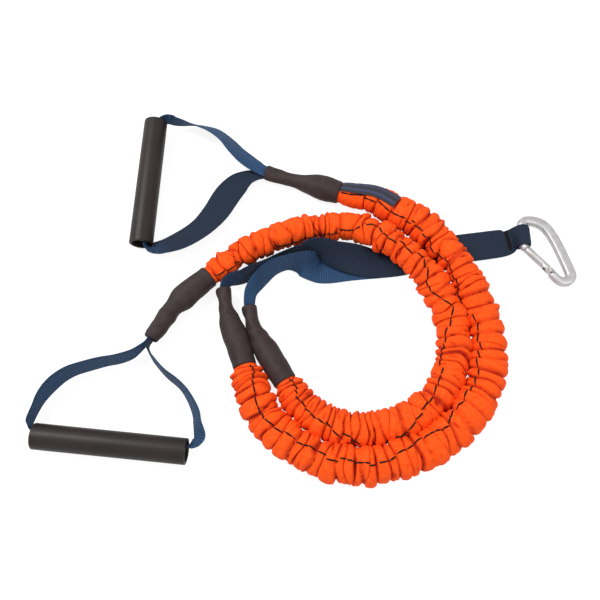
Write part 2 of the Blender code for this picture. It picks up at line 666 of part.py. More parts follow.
def carabiner_point(x, y, lift=0.0):
    """A point of the carabiner, turned about the bar that the strap holds until it lies down."""
    flat = place(x, y, BAR_LOOP_Z + lift)
    pivot = place(BAR_LOOP_X, y, BAR_LOOP_Z)
    turn = Matrix.Rotation(CARABINER_TILT, 3, "Y")
    return pivot + turn @ (flat - pivot)


def carabiner_rings(line, radii, steps):
    """Rings of an eight-sided bar along a line drawn flat, each turned square to the line."""
    rows = catmull([(*point, *size) for point, size in zip(line, radii)], steps)
    rings = []
    for index, row in enumerate(rows):
        after = rows[min(index + 1, len(rows) - 1)]
        before = rows[max(index - 1, 0)]
        along = Vector((after[0] - before[0], after[1] - before[1])).normalized()
        side = Vector((-along.y, along.x))
        ring = []
        for corner in range(BAR_SIDES):
            angle = 2 * math.pi * (corner + 0.5) / BAR_SIDES
            aside = row[2] * math.cos(angle)
            ring.append(carabiner_point(row[0] + side.x * aside, row[1] + side.y * aside,
                                        row[3] * math.sin(angle)))
        rings.append(ring)
    return rings


# Gate, along its own axis from the rivet to the nose
NOSE = Vector(CARABINER_LINE[0])
GATE_WAY = (NOSE - Vector(PIVOT)).normalized()
GATE_SIDE = Vector((GATE_WAY.y, -GATE_WAY.x))
GATE_RADIUS = 0.0034
GATE_BACK = 0.0030
NOSE_GAP = 0.0005
GATE_REACH = (NOSE - Vector(PIVOT)).length - NOSE_GAP
TONGUE_HALF = 0.0015
SLOT_DEPTH = 0.0046
TONGUE_REACH = 0.0026
RIVET_RADIUS = 0.0011
RIVET_HEAD = 0.0019
RIVET_HEAD_HEIGHT = 0.0006
HEAD_TOP_SHARE = 0.8
SPRING_RADIUS = 0.0009
SPRING_LENGTH = 0.0100
SPINE_HALF = 0.0038
SPINE_ROWS = range(10, 17)
TONGUE_ROOT = 0.0036
TONGUE_SWELL = 1.08
TONGUE_WIDTHS = (0.0036, 0.0034, 0.0024)
GATE_END_SHARE = 0.83
GATE_BEVEL = 0.0007
CUTTER_REACH = 0.006
CUTTER_MARGIN = 0.001
CUTTER_SQUARE = math.sqrt(2.0)


def gate_spot(distance, aside, lift):
    flat = Vector(PIVOT) + GATE_WAY * distance + GATE_SIDE * aside
    return carabiner_point(flat.x, flat.y, lift)


def gate_bar(name, stations, finish, sides=BAR_SIDES):
    """A bar along the gate's axis from rows of distance, half width and half height."""
    rings = []
    for distance, wide, high in stations:
        rings.append([gate_spot(distance, wide * math.cos(angle), high * math.sin(angle))
                      for angle in (2 * math.pi * (k + 0.5) / sides for k in range(sides))])
    return loft(name, rings, finish)


def pivot_pin(name, rows, finish):
    """A round piece along the gate's hinge, from rows of height and radius."""
    rings = []
    for lift, radius in rows:
        rings.append([gate_spot(radius * math.cos(angle), radius * math.sin(angle), lift)
                      for angle in (2 * math.pi * (k + 0.5) / FITTING_SIDES
                                    for k in range(FITTING_SIDES))])
    return loft(name, rings, finish)


def cut(target, cutter):
    cutter.hide_render = True
    cutter.display_type = "WIRE"
    step = target.modifiers.new(cutter.name, "BOOLEAN")
    step.operation = "DIFFERENCE"
    step.solver = "EXACT"
    step.object = cutter


def build_carabiner(metal, rivet_metal):
    pivot = Vector(PIVOT)
    tongue = [pivot - GATE_WAY * TONGUE_ROOT, pivot, pivot + GATE_WAY * TONGUE_REACH]
    line = CARABINER_LINE + [tuple(point) for point in tongue]
    radii = []
    for index in range(len(CARABINER_LINE)):
        radii.append((BAR_RADIUS, SPINE_HALF if index in SPINE_ROWS else BAR_RADIUS))
    swollen = TONGUE_HALF * TONGUE_SWELL
    radii += zip(TONGUE_WIDTHS, (swollen, TONGUE_HALF, TONGUE_HALF))
    body = loft("carabiner_body", carabiner_rings(line, radii, 1), metal)

    full, small = GATE_RADIUS, GATE_RADIUS * GATE_END_SHARE
    gate = gate_bar("carabiner_gate", [
        (-GATE_BACK, small, small), (GATE_BEVEL - GATE_BACK, full, full),
        (GATE_REACH - GATE_BEVEL, full, full), (GATE_REACH, small, small)], metal)
    wide = CUTTER_SQUARE * CUTTER_REACH
    slot_half = CUTTER_SQUARE * (swollen + GAP)
    cut(gate, gate_bar("slot_cutter", [(-CUTTER_REACH, wide, slot_half),
                                       (SLOT_DEPTH, wide, slot_half)], metal, 4))
    bore = SPRING_RADIUS + GAP
    spring_end = SLOT_DEPTH + SPRING_LENGTH
    cut(gate, gate_bar("spring_bore_cutter", [(SLOT_DEPTH - CUTTER_MARGIN, bore, bore),
                                              (spring_end + GAP, bore, bore)], metal))
    hole = RIVET_RADIUS + GAP
    hole_cutter = pivot_pin("rivet_hole_cutter", [(-CUTTER_REACH, hole), (CUTTER_REACH, hole)], metal)
    cut(gate, hole_cutter)
    cut(body, hole_cutter)
    gate_bar("gate_spring", [(SLOT_DEPTH + GAP, SPRING_RADIUS, SPRING_RADIUS),
                             (spring_end, SPRING_RADIUS, SPRING_RADIUS)], rivet_metal)
    seat = GATE_RADIUS * math.cos(math.pi / BAR_SIDES) + GAP
    top = seat + RIVET_HEAD_HEIGHT
    rim = RIVET_HEAD * HEAD_TOP_SHARE
    pivot_pin("gate_rivet", [
        (-top, rim), (-seat, RIVET_HEAD), (-seat, RIVET_RADIUS),
        (seat, RIVET_RADIUS), (seat, RIVET_HEAD), (top, rim)], rivet_metal)


# Woven tag on the outer tube, beside its handle's sleeve
TAG_WIDTH = 0.0100
TAG_THICKNESS = 0.0008
TAG_START = 0.0030
TAG_LENGTH = 0.0540
TAG_LEAN = math.radians(72.0)
TAG_STEPS = 6


def build_tag(name, tube, finish):
    stations = []
    first = CORE_SEAT + TAG_START
    for step in range(TAG_STEPS + 1):
        distance = first + TAG_LENGTH * step / TAG_STEPS
        point, _, across, rise = tube.route.frame(distance)
        radius = COVER_END_RADIUS + (tube.peak - COVER_END_RADIUS) * tube.swell(distance)
        out = across * math.cos(TAG_LEAN) + rise * math.sin(TAG_LEAN)
        edge = across * math.sin(TAG_LEAN) - rise * math.cos(TAG_LEAN)
        lift = max(radius, SLEEVE_RADIUS) + GAP + TAG_THICKNESS
        stations.append(Station(point + out * lift, edge, TAG_WIDTH, TAG_THICKNESS))
    return ribbon(name, stations, 1, finish)


# Bar of stitches that closes the strap's loop
STITCH_LINE = [(0.1872, 0.0455), (0.1836, 0.0665)]
STITCH_WIDTH = 0.0026
STITCH_THICKNESS = 0.0005


def build_stitch(name, finish):
    height = LAYER_HIGH + WEBBING_THICKNESS / 2 + 2 * GAP + STITCH_THICKNESS / 2
    ends = [place(x, y, height) for x, y in STITCH_LINE]
    across = (ends[1] - ends[0]).normalized().cross(UP)
    stations = [Station(end, across, STITCH_WIDTH, STITCH_THICKNESS) for end in ends]
    return ribbon(name, stations, 1, finish)


def hang(names, label, point):
    """Parents pieces to an empty on the axis that they turn about."""
    holder = bpy.data.objects.new(label, None)
    bpy.context.scene.collection.objects.link(holder)
    holder.location = point
    for name in names:
        piece = bpy.data.objects[name]
        piece.parent = holder
        piece.location = -Vector(point)


OUTER_TUBE = Tube(HANDLE_FITTING_1, OUTER_TUBE_POINTS, ANCHOR_FITTING_1, OUTER_TUBE_PEAK,
                  OUTER_TUBE_VALLEY)
INNER_TUBE = Tube(HANDLE_FITTING_2, INNER_TUBE_POINTS, ANCHOR_FITTING_2, INNER_TUBE_PEAK,
                  INNER_TUBE_VALLEY)


def main():
    clear_scene()
    plastic = material("grip_plastic", (0.035, 0.026, 0.022), 0.42)
    rubber = material("sleeve_rubber", (0.050, 0.046, 0.046), 0.60)
    webbing = material("navy_webbing", (0.022, 0.042, 0.105), 0.85)
    orange = material("orange_fabric", (0.93, 0.130, 0.015), 0.75)
    latex = material("latex", (0.62, 0.47, 0.30), 0.55)
    band = material("band_steel", (0.55, 0.55, 0.56), 0.40, 1.0)
    stopper = material("stopper_plastic", (0.10, 0.10, 0.10), 0.50)
    aluminium = material("aluminium", (0.72, 0.71, 0.70), 0.38, 1.0)
    thread = material("dark_thread", (0.010, 0.010, 0.013), 0.85)
    weave = material("woven_tag", (0.040, 0.045, 0.120), 0.80)

    GRIP_1.build("grip_1", plastic)
    GRIP_2.build("grip_2", plastic)
    handle_strap("handle_strap_1", HANDLE_FITTING_1, GRIP_1, LEG_1_FAR, LEG_1_NEAR, TURN_FAR,
                 TURN_NEAR, 1.0, webbing)
    handle_strap("handle_strap_2", HANDLE_FITTING_2, GRIP_2, LEG_2_LEFT, LEG_2_RIGHT, TURN_LEFT,
                 TURN_RIGHT, 0.0, webbing)
    for fitting, place_name in ((HANDLE_FITTING_1, "handle_{}_1"), (HANDLE_FITTING_2, "handle_{}_2"),
                                (ANCHOR_FITTING_1, "anchor_{}_1"), (ANCHOR_FITTING_2, "anchor_{}_2")):
        build_sleeve(place_name.format("sleeve"), fitting, rubber)
        build_crimp(place_name.format("crimp"), fitting, band)
        build_plug(place_name.format("plug"), fitting, stopper)
    for number, tube in ((1, OUTER_TUBE), (2, INNER_TUBE)):
        tube.build_cover(f"tube_cover_{number}", orange)
        tube.build_core(f"tube_core_{number}", latex)
    anchor_strap("anchor_strap", webbing)
    build_stitch("anchor_stitch", thread)
    build_tag("woven_tag", OUTER_TUBE, weave)
    build_carabiner(aluminium, band)

    hang(["handle_strap_1"], "handle_1_swing", HANDLE_FITTING_1.mouth())
    hang(["handle_strap_2"], "handle_2_swing", HANDLE_FITTING_2.mouth())
    hang(["grip_1"], "grip_1_spin", GRIP_1.start)
    hang(["grip_2"], "grip_2_spin", GRIP_2.start)
    hang(["carabiner_body", "gate_rivet"], "carabiner_swing",
         place(BAR_LOOP_X, LOOP_MIDDLE_Y, BAR_LOOP_Z))
    hang(["carabiner_gate", "gate_spring"], "gate_swing", carabiner_point(*PIVOT))


main()
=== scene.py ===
"""A resistance tube lying on a pale floor: pleated covers, webbing handles and a carabiner.

Metres, +Z up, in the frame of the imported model. The drawing's points are moved by place().
"""
import json
import math

import bmesh
import bpy
import numpy as np
from mathutils import Matrix, Vector

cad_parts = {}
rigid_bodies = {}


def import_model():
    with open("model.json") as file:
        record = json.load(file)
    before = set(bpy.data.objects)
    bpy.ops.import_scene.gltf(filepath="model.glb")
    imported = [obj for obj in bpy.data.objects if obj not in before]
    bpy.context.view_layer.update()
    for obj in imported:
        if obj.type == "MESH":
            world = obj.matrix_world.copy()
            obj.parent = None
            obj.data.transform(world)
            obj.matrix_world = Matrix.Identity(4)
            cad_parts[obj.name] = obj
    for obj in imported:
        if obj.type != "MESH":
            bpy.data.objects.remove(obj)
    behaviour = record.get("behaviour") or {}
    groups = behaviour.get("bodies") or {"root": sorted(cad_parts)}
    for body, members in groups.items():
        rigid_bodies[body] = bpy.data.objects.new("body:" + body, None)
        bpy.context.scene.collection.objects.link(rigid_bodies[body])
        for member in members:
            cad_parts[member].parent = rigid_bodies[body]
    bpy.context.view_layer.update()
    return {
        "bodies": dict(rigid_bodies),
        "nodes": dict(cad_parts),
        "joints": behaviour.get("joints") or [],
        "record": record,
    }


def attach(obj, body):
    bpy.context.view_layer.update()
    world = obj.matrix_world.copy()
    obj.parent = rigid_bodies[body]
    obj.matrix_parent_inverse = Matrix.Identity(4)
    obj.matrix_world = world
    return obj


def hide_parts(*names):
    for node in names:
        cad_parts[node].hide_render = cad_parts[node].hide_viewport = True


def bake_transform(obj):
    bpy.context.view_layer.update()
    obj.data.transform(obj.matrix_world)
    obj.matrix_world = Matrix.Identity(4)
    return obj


UP = Vector((0.0, 0.0, 1.0))
FULL_TURN = 2 * math.pi

# Where the drawing's origin lies in the frame
ORIGIN_X = 0.0121
ORIGIN_Y = 0.0189

# Camera and light
CAMERA_PLACE = (-0.0121, -0.2388, 0.5729)
CAMERA_PITCH = math.radians(21.0)
LENS = 41.64
SENSOR = 36.0
CLIP_START = 0.01
LAMP_TARGET = (0.0, -0.01, 0.0)
FLOOR_HALF = 6.0
FLOOR_LEVEL = -0.0003
FLOOR_GLOW = 0.86

# The world's strength on the object, and where it is seen itself
WORLD_LEVEL = 0.62
WORLD_SEEN = 1.0

# Clearances
GAP = 0.0003
FLOOR_GAP = 0.0004

# Handles
GRIP_LENGTH = 0.125
GRIP_RADIUS = 0.01065
GRIP_WALL = 0.0024
GRIP_EDGE = 0.0007
GRIP_TILT = math.radians(3.0)
WEBBING_WIDTH = 0.027
WEBBING_THICKNESS = 0.0016
TAIL_WIDTH = 0.0084
MOUTH_WIDTH = 0.0108
TAIL_THICKNESS = 0.0016
STRAP_CURL_RADIUS = 0.0072
STRAP_SEAT = 0.0065

# Elastic tubes
CORE_RADIUS = 0.0048
COVER_END_RADIUS = 0.0088
COVER_FLARE = 0.0080
COVER_BORE = 0.0081

# End fittings
SLEEVE_WALL = 0.0009
FITTING_STRAIGHT = 0.023
COVER_SEAT = 0.006
CORE_SEAT = 0.019
TAIL_START = 0.0075
TAIL_CLOSES = 0.018
TAIL_HALF_CLOSED = 0.55
TAIL_STEPS = 4
MOUTH_MARGIN = 0.002
PLUG_HEAD_LENGTH = 0.0020
STRAIGHT_SHARES = (0, 0.33, 0.67, 1)

# Curves: how finely they are cut, and how far apart a direction is read
ROUTE_STEPS = 12
TUBE_STEPS = 8
DIRECTION_REACH = 0.0015
FRAME_REACH = 0.004


def place(x, y, z=0.0):
    """A point of the drawing, moved into the frame."""
    return Vector((x - ORIGIN_X, y - ORIGIN_Y, z))


def angles_round(sides, offset=0.5):
    """Even angles round a ring, which start at a share of one side."""
    return [FULL_TURN * (k + offset) / sides for k in range(sides)]


def ramp_up(value, start, length):
    """How far a value is on its way from start over a length, from 0 to 1."""
    return min(max((value - start) / length, 0.0), 1.0)


def catmull(points, steps):
    """A smooth curve through points, which are tuples of any length, with steps per span."""
    result = []
    last = len(points) - 1
    for index in range(last):
        before = points[max(index - 1, 0)]
        start = points[index]
        end = points[index + 1]
        after = points[min(index + 2, last)]
        for step in range(steps):
            t = step / steps
            result.append(tuple(
                0.5 * (2 * b + (c - a) * t + (2 * a - 5 * b + 4 * c - d) * t ** 2
                       + (3 * b - a - 3 * c + d) * t ** 3)
                for a, b, c, d in zip(before, start, end, after)))
    result.append(tuple(points[last]))
    return result


class Route:
    """A smooth line through points, measured by its length."""

    def __init__(self, points, steps=ROUTE_STEPS):
        self.points = [Vector(p) for p in catmull([tuple(p) for p in points], steps)]
        self.marks = [0.0]
        for first, second in zip(self.points, self.points[1:]):
            self.marks.append(self.marks[-1] + (second - first).length)
        self.length = self.marks[-1]

    def at(self, distance):
        distance = min(max(distance, 0.0), self.length)
        index = int(np.searchsorted(self.marks, distance, side="left"))
        index = min(max(index, 1), len(self.marks) - 1)
        low, high = self.marks[index - 1], self.marks[index]
        return self.points[index - 1].lerp(self.points[index], (distance - low) / (high - low))

    def direction(self, distance, reach=DIRECTION_REACH):
        return (self.at(distance + reach) - self.at(distance - reach)).normalized()

    def frame(self, distance):
        """The point, the way along, the level way across and the way up at a distance."""
        along = self.direction(distance, FRAME_REACH)
        across = UP.cross(along).normalized()
        return self.at(distance), along, across, along.cross(across)


class Fitting:
    """Where a tube's end and two webbing tails are held in one sleeve."""

    def __init__(self, rim, way, bend, widths, heights, turned):
        self.rim = place(*rim)
        self.way = Vector((*way, 0.0)).normalized()
        straight = [self.rim + self.way * (FITTING_STRAIGHT * share) for share in STRAIGHT_SHARES]
        self.route = Route(straight + [place(*p) for p in bend])
        self.widths = widths
        self.heights = heights
        self.turned = turned

    def along(self, distance):
        """A point on the straight part of the axis; negative distances lie out in the tube."""
        return self.rim + self.way * distance

    def mouth(self):
        return self.route.at(self.route.length)

    def tail(self, side, alone=False, lean=0.0):
        """Stations of a webbing tail, from the crimp out to the sleeve's mouth, where it is wider
        and leans by so many degrees."""
        over_core = CORE_RADIUS + GAP + TAIL_THICKNESS / 2
        beside = 0.0 if alone else GAP + TAIL_THICKNESS / 2
        close = CORE_SEAT + TAIL_CLOSES
        free = self.route.length - MOUTH_MARGIN - close
        places = [(TAIL_START, over_core), (CORE_SEAT + PLUG_HEAD_LENGTH + GAP, over_core),
                  (CORE_SEAT + TAIL_CLOSES * TAIL_HALF_CLOSED, (over_core + beside) / 2)]
        places += [(close + free * step / TAIL_STEPS, beside) for step in range(TAIL_STEPS + 1)]
        stations = []
        for distance, aside in places:
            point, _, across, rise = self.route.frame(distance)
            offset = across if self.turned else rise
            out = max(distance - close, 0.0) / free
            turn = math.radians(lean * out)
            edge = UP * math.cos(turn) + across * math.sin(turn) if self.turned else across
            width = TAIL_WIDTH + (MOUTH_WIDTH - TAIL_WIDTH) * out
            stations.append(Station(point + offset * (side * aside), edge, width, TAIL_THICKNESS))
        return stations


class Station:
    """One place along a strip of webbing."""

    def __init__(self, point, edge, width=WEBBING_WIDTH, thickness=WEBBING_THICKNESS, curl=0.0):
        self.point = point
        self.edge = edge
        self.width = width
        self.thickness = thickness
        self.curl = curl

    def row(self):
        return (*self.point, *self.edge, self.width, self.thickness, self.curl)


HANDLE_FITTING_1 = Fitting(
    (0.0365, 0.1015, 0.0114), (-0.949, 0.316),
    [(0.0040, 0.1122, 0.0100), (-0.0080, 0.1160, 0.0092), (-0.0200, 0.1205, 0.0090),
     (-0.0318, 0.1244, 0.0090)],
    widths=[0.0102, 0.0112, 0.0112, 0.0086, 0.0066, 0.0062, 0.0072, 0.0072],
    heights=[0.0108, 0.0110, 0.0108, 0.0094, 0.0070, 0.0058, 0.0055, 0.0056], turned=False)
HANDLE_FITTING_2 = Fitting(
    (-0.0795, 0.0182, 0.0112), (-0.745, -0.666),
    [(-0.1050, -0.0062, 0.0112), (-0.1125, -0.0160, 0.0110), (-0.1200, -0.0280, 0.0110),
     (-0.1268, -0.0395, 0.0110)],
    widths=[0.0099, 0.0099, 0.0108, 0.0111, 0.0078, 0.0081, 0.0076, 0.0060],
    heights=[0.0106, 0.0108, 0.0106, 0.0096, 0.0084, 0.0076, 0.0070, 0.0068], turned=True)
ANCHOR_FITTING_1 = Fitting(
    (-0.0460, -0.0640, 0.0112), (-0.304, 0.953),
    [(-0.0583, -0.0290, 0.0112), (-0.0618, -0.0190, 0.0114), (-0.0645, -0.0080, 0.0119),
     (-0.0664, 0.0055, 0.0125)],
    widths=[0.0100, 0.0101, 0.0106, 0.0108, 0.0094, 0.0070, 0.0058, 0.0069],
    heights=[0.0104, 0.0105, 0.0104, 0.0098, 0.0088, 0.0078, 0.0072, 0.0070], turned=True)
ANCHOR_FITTING_2 = Fitting(
    (-0.0120, -0.0772, 0.0112), (-0.523, 0.852),
    [(-0.0290, -0.0490, 0.0112), (-0.0350, -0.0390, 0.0113), (-0.0405, -0.0260, 0.0116),
     (-0.0438, -0.0109, 0.0122)],
    widths=[0.0100, 0.0102, 0.0106, 0.0106, 0.0090, 0.0068, 0.0058, 0.0068],
    heights=[0.0104, 0.0106, 0.0104, 0.0098, 0.0088, 0.0080, 0.0074, 0.0070], turned=True)

# Free routes of the tubes' middle lines, from the handle to the anchor strap
OUTER_TUBE_POINTS = [
    (0.0660, 0.0922, 0.0148), (0.0790, 0.0858, 0.0150), (0.0930, 0.0772, 0.0152),
    (0.1075, 0.0672, 0.0160), (0.1187, 0.0544, 0.0172), (0.1284, 0.0416, 0.0180),
    (0.1372, 0.0275, 0.0180), (0.1452, 0.0122, 0.0166), (0.1518, -0.0052, 0.0152),
    (0.1566, -0.0240, 0.0148), (0.1583, -0.0440, 0.0148), (0.1559, -0.0645, 0.0148),
    (0.1492, -0.0853, 0.0148), (0.1378, -0.1037, 0.0148), (0.1212, -0.1203, 0.0148),
    (0.1013, -0.1326, 0.0148), (0.0796, -0.1404, 0.0148), (0.0579, -0.1452, 0.0148),
    (0.0362, -0.1449, 0.0148), (0.0155, -0.1399, 0.0148), (-0.0028, -0.1304, 0.0148),
    (-0.0195, -0.1175, 0.0148), (-0.0322, -0.0998, 0.0146)]
INNER_TUBE_POINTS = [
    (-0.0550, 0.0375, 0.0128), (-0.0430, 0.0442, 0.0133), (-0.0310, 0.0502, 0.0135),
    (-0.0175, 0.0556, 0.0135), (-0.0030, 0.0602, 0.0135), (0.0115, 0.0634, 0.0135),
    (0.0260, 0.0652, 0.0136), (0.0410, 0.0650, 0.0140), (0.0560, 0.0622, 0.0152),
    (0.0700, 0.0560, 0.0172), (0.0820, 0.0476, 0.0182), (0.0935, 0.0375, 0.0182),
    (0.1040, 0.0262, 0.0176), (0.1130, 0.0140, 0.0156), (0.1205, 0.0005, 0.0138),
    (0.1262, -0.0140, 0.0135), (0.1298, -0.0300, 0.0135), (0.1302, -0.0465, 0.0135),
    (0.1272, -0.0625, 0.0135), (0.1212, -0.0775, 0.0135), (0.1115, -0.0915, 0.0135),
    (0.0985, -0.1025, 0.0135), (0.0835, -0.1105, 0.0135), (0.0670, -0.1155, 0.0135),
    (0.0500, -0.1175, 0.0135), (0.0335, -0.1158, 0.0135), (0.0185, -0.1100, 0.0135),
    (0.0060, -0.1010, 0.0130)]


# Places on the straight part of a fitting that a tube's line runs through
LEAD_OUT = (CORE_SEAT, COVER_SEAT, 0.0, -0.007, -0.014)


def run_of(first, points, last):
    """The middle line of a cover, from seat to seat."""
    line = [first.along(mark) for mark in LEAD_OUT]
    line += [place(*p) for p in points]
    line += [last.along(mark) for mark in LEAD_OUT[::-1]]
    return Route(line, steps=TUBE_STEPS)


# Fineness of the covers
FRAME_SPACING = 0.001
COVER_STEP = 0.00062
BORE_STEP = 0.006
COVER_SIDES = 84

# Pleats: shares without a unit, all else in metres
PLEAT_SPREAD = 0.34
PLEAT_LEAN = 0.0020
PLEAT_LIFTS = (-0.0015, 0.0009)
LIFT_SWINGS = (0.0002, 0.0010)
PILLOW_RISE = 0.0006
SKIN_LIFT = 0.0004
END_SOFTNESS = 0.25
LAST_CREASE = 0.006
CREASE_WANDER = (0.0014, 0.0012, 0.0008)
CREASE_STRENGTHS = (0.70, 1.15)
CREASE_FADES = (0.05, 0.42)
CREASE_DEPTH = 0.0042
CREASE_REACH = 0.00078
FOLD_LIMIT = 1.25
DROP_LIMIT = 0.0052
FAR_AWAY = 1.0

# Pinches between the creases
PINCHES_PER_CREASE = 3.4
PINCH_MARGIN = 0.008
PINCH_SPANS = (0.16, 0.60)
PINCH_SLANT = 0.0030
PINCH_DEPTHS = (0.0008, 0.0030)
PINCH_REACHES = (0.0006, 0.0013)
PINCH_LIMIT = 0.0034

# Fine ripples all over
RIPPLE_COUNT = 5
RIPPLE_SPREAD = (0.6, 1.4)
RIPPLE_ALONG = 900
RIPPLE_ROUND = 4
RIPPLE_HEIGHT = 0.00009

# Seam of dark thread; its jumps are in radians, its slopes in radians per metre
THREAD_RADIUS = 0.00072
THREAD_SUNK = 0.6
THREAD_SIDES = 6
THREAD_END = 0.62
STITCH_POINTS = 4
STITCH_PITCH = 0.0070
STITCH_SHARE = 0.96
STITCH_INSET = 0.0002
SEAM_MARGIN = 0.008
SEAM_JUMP = 0.13
SEAM_SLOPE = 16.0


class Cover:
    """The pleated fabric round one tube, as a surface that stitches can be laid on."""

    def __init__(self, route, sizes, pitches, seed, seam):
        self.route = route
        self.sizes = sizes
        self.pitches = pitches
        self.start = CORE_SEAT - COVER_SEAT
        self.length = route.length - 2 * self.start
        self.seam = seam
        self.rng = np.random.default_rng(seed)
        self.sample_route()
        self.lay_creases()

    def sample_route(self):
        """Frames along the line, close enough together to read between them."""
        count = int(self.length / FRAME_SPACING) + 1
        self.marks = np.linspace(0.0, self.length, count)
        frames = [self.route.frame(self.start + mark) for mark in self.marks]
        self.frames = [np.array([frame[part] for frame in frames]) for part in range(4)]

    def frame(self, distance):
        """Point, along, across and rise at each distance, as arrays."""
        found = []
        for values in self.frames:
            found.append(np.stack([np.interp(distance, self.marks, values[:, axis])
                                   for axis in range(3)], axis=-1))
        return found

    def lay_creases(self):
        rng = self.rng
        marks, place_now = [], self.pitches[0][1]
        while place_now < self.length - LAST_CREASE:
            marks.append(place_now)
            pitch = np.interp(place_now, *zip(*self.pitches))
            place_now += pitch * (1 + rng.uniform(-PLEAT_SPREAD, PLEAT_SPREAD))
        count = len(marks)
        self.creases = np.array(marks)
        self.wander = rng.normal(0.0, 1.0, (count, 3)) * np.array(CREASE_WANDER)
        self.wander_phase = rng.uniform(0.0, FULL_TURN, (count, 3))
        self.depth = rng.uniform(*CREASE_STRENGTHS, count)
        self.fade = rng.uniform(*CREASE_FADES, (count, 2))
        self.fade_phase = rng.uniform(0.0, FULL_TURN, (count, 2))
        self.lift = rng.uniform(*PLEAT_LIFTS, count + 1)
        self.lift_swing = rng.uniform(*LIFT_SWINGS, (count + 1, 2))
        self.lift_phase = rng.uniform(0.0, FULL_TURN, (count + 1, 2))
        self.lean = rng.uniform(-PLEAT_LEAN, PLEAT_LEAN, count + 1)
        pinches = int(count * PINCHES_PER_CREASE)
        self.pinch_mark = rng.uniform(PINCH_MARGIN, self.length - PINCH_MARGIN, pinches)
        self.pinch_angle = rng.uniform(0.0, FULL_TURN, pinches)
        self.pinch_span = rng.uniform(*PINCH_SPANS, pinches)
        self.pinch_slant = rng.uniform(-PINCH_SLANT, PINCH_SLANT, pinches)
        self.pinch_depth = rng.uniform(*PINCH_DEPTHS, pinches)
        self.pinch_reach = rng.uniform(*PINCH_REACHES, pinches)
        self.ripple = rng.uniform(*RIPPLE_SPREAD, (RIPPLE_COUNT, 2))
        self.ripple_phase = rng.uniform(0.0, FULL_TURN, RIPPLE_COUNT)

    def size(self, mark):
        """The radius of the open fabric at each distance."""
        return np.interp(mark, *zip(*self.sizes))

    def swell(self, mark):
        """How far the cover has opened out from its pinched ends, from 0 to 1."""
        into = np.minimum(mark, self.length - mark) - COVER_SEAT
        share = np.clip(into / COVER_FLARE, 0.0, 1.0)
        return share * share * (3 - 2 * share)

    def crease_marks(self, angle):
        """Where each crease lies at each angle."""
        order = np.arange(1, 4)[None, None, :]
        swing = np.sin(order * angle[None, :, None] + self.wander_phase[:, None, :])
        return self.creases[:, None] + (self.wander[:, None, :] * swing).sum(axis=2)

    def surface(self, mark, angle, lift=0.0):
        """Points of the fabric at distances and angles, both flat arrays of one length."""
        lines = self.crease_marks(angle)
        away = mark[None, :] - lines
        order = np.arange(1, 3)[None, None, :]
        swing = np.sin(order * angle[None, :, None] + self.fade_phase[:, None, :])
        depth = self.depth[:, None] * (1.0 - (self.fade[:, None, :] * (1 + swing)).sum(axis=2) * 0.5)
        near = np.exp(-np.abs(away) / CREASE_REACH)
        fold = np.clip((depth * near).sum(axis=0), 0.0, FOLD_LIMIT)
        index = (away > 0).sum(axis=0)
        behind = np.where(away > 0, away, FAR_AWAY).min(axis=0)
        before = np.where(away <= 0, -away, FAR_AWAY).min(axis=0)
        middle = np.clip(np.minimum(behind, before) / (behind + before), 0.0, 0.5)
        pillow = PILLOW_RISE * np.sqrt(middle * (1.0 - middle)) * 2
        swing = np.sin(order[0] * angle[:, None] + self.lift_phase[index])
        height = self.lift[index] + (self.lift_swing[index] * swing).sum(axis=1)
        turn = (angle[None, :] - self.pinch_angle[:, None] + math.pi) % FULL_TURN - math.pi
        ahead = mark[None, :] - self.pinch_mark[:, None] - self.pinch_slant[:, None] * turn
        pinch = (self.pinch_depth[:, None] * np.exp(-(turn / self.pinch_span[:, None]) ** 2)
                 * np.exp(-np.abs(ahead) / self.pinch_reach[:, None])).sum(axis=0)
        ripple = sum(np.sin(mark * (RIPPLE_ALONG * a) + angle * round(RIPPLE_ROUND * b) + p)
                     for (a, b), p in zip(self.ripple, self.ripple_phase)) * RIPPLE_HEIGHT
        swell = self.swell(mark)
        full = COVER_END_RADIUS + SKIN_LIFT + (self.size(mark) - COVER_END_RADIUS) * swell
        soft = END_SOFTNESS + (1.0 - END_SOFTNESS) * swell
        pinch = np.clip(pinch, 0.0, PINCH_LIMIT)
        drop = np.minimum(CREASE_DEPTH * fold + pinch, DROP_LIMIT)
        radius = full + (height + pillow - drop) * soft + ripple
        edge = np.minimum(mark, self.length - mark)
        radius = np.where(edge < COVER_SEAT, np.minimum(radius, COVER_END_RADIUS), radius)
        shift = self.lean[index] * (1.0 - np.clip(fold, 0.0, 1.0)) * swell
        point, along, across, rise = self.frame(mark + shift)
        out = across * np.cos(angle)[:, None] + rise * np.sin(angle)[:, None]
        skin = point + out * (radius + lift)[:, None]
        skin[:, 2] = np.maximum(skin[:, 2], FLOOR_GAP)
        return skin, out, np.clip(drop / CREASE_DEPTH, 0.0, 1.0)

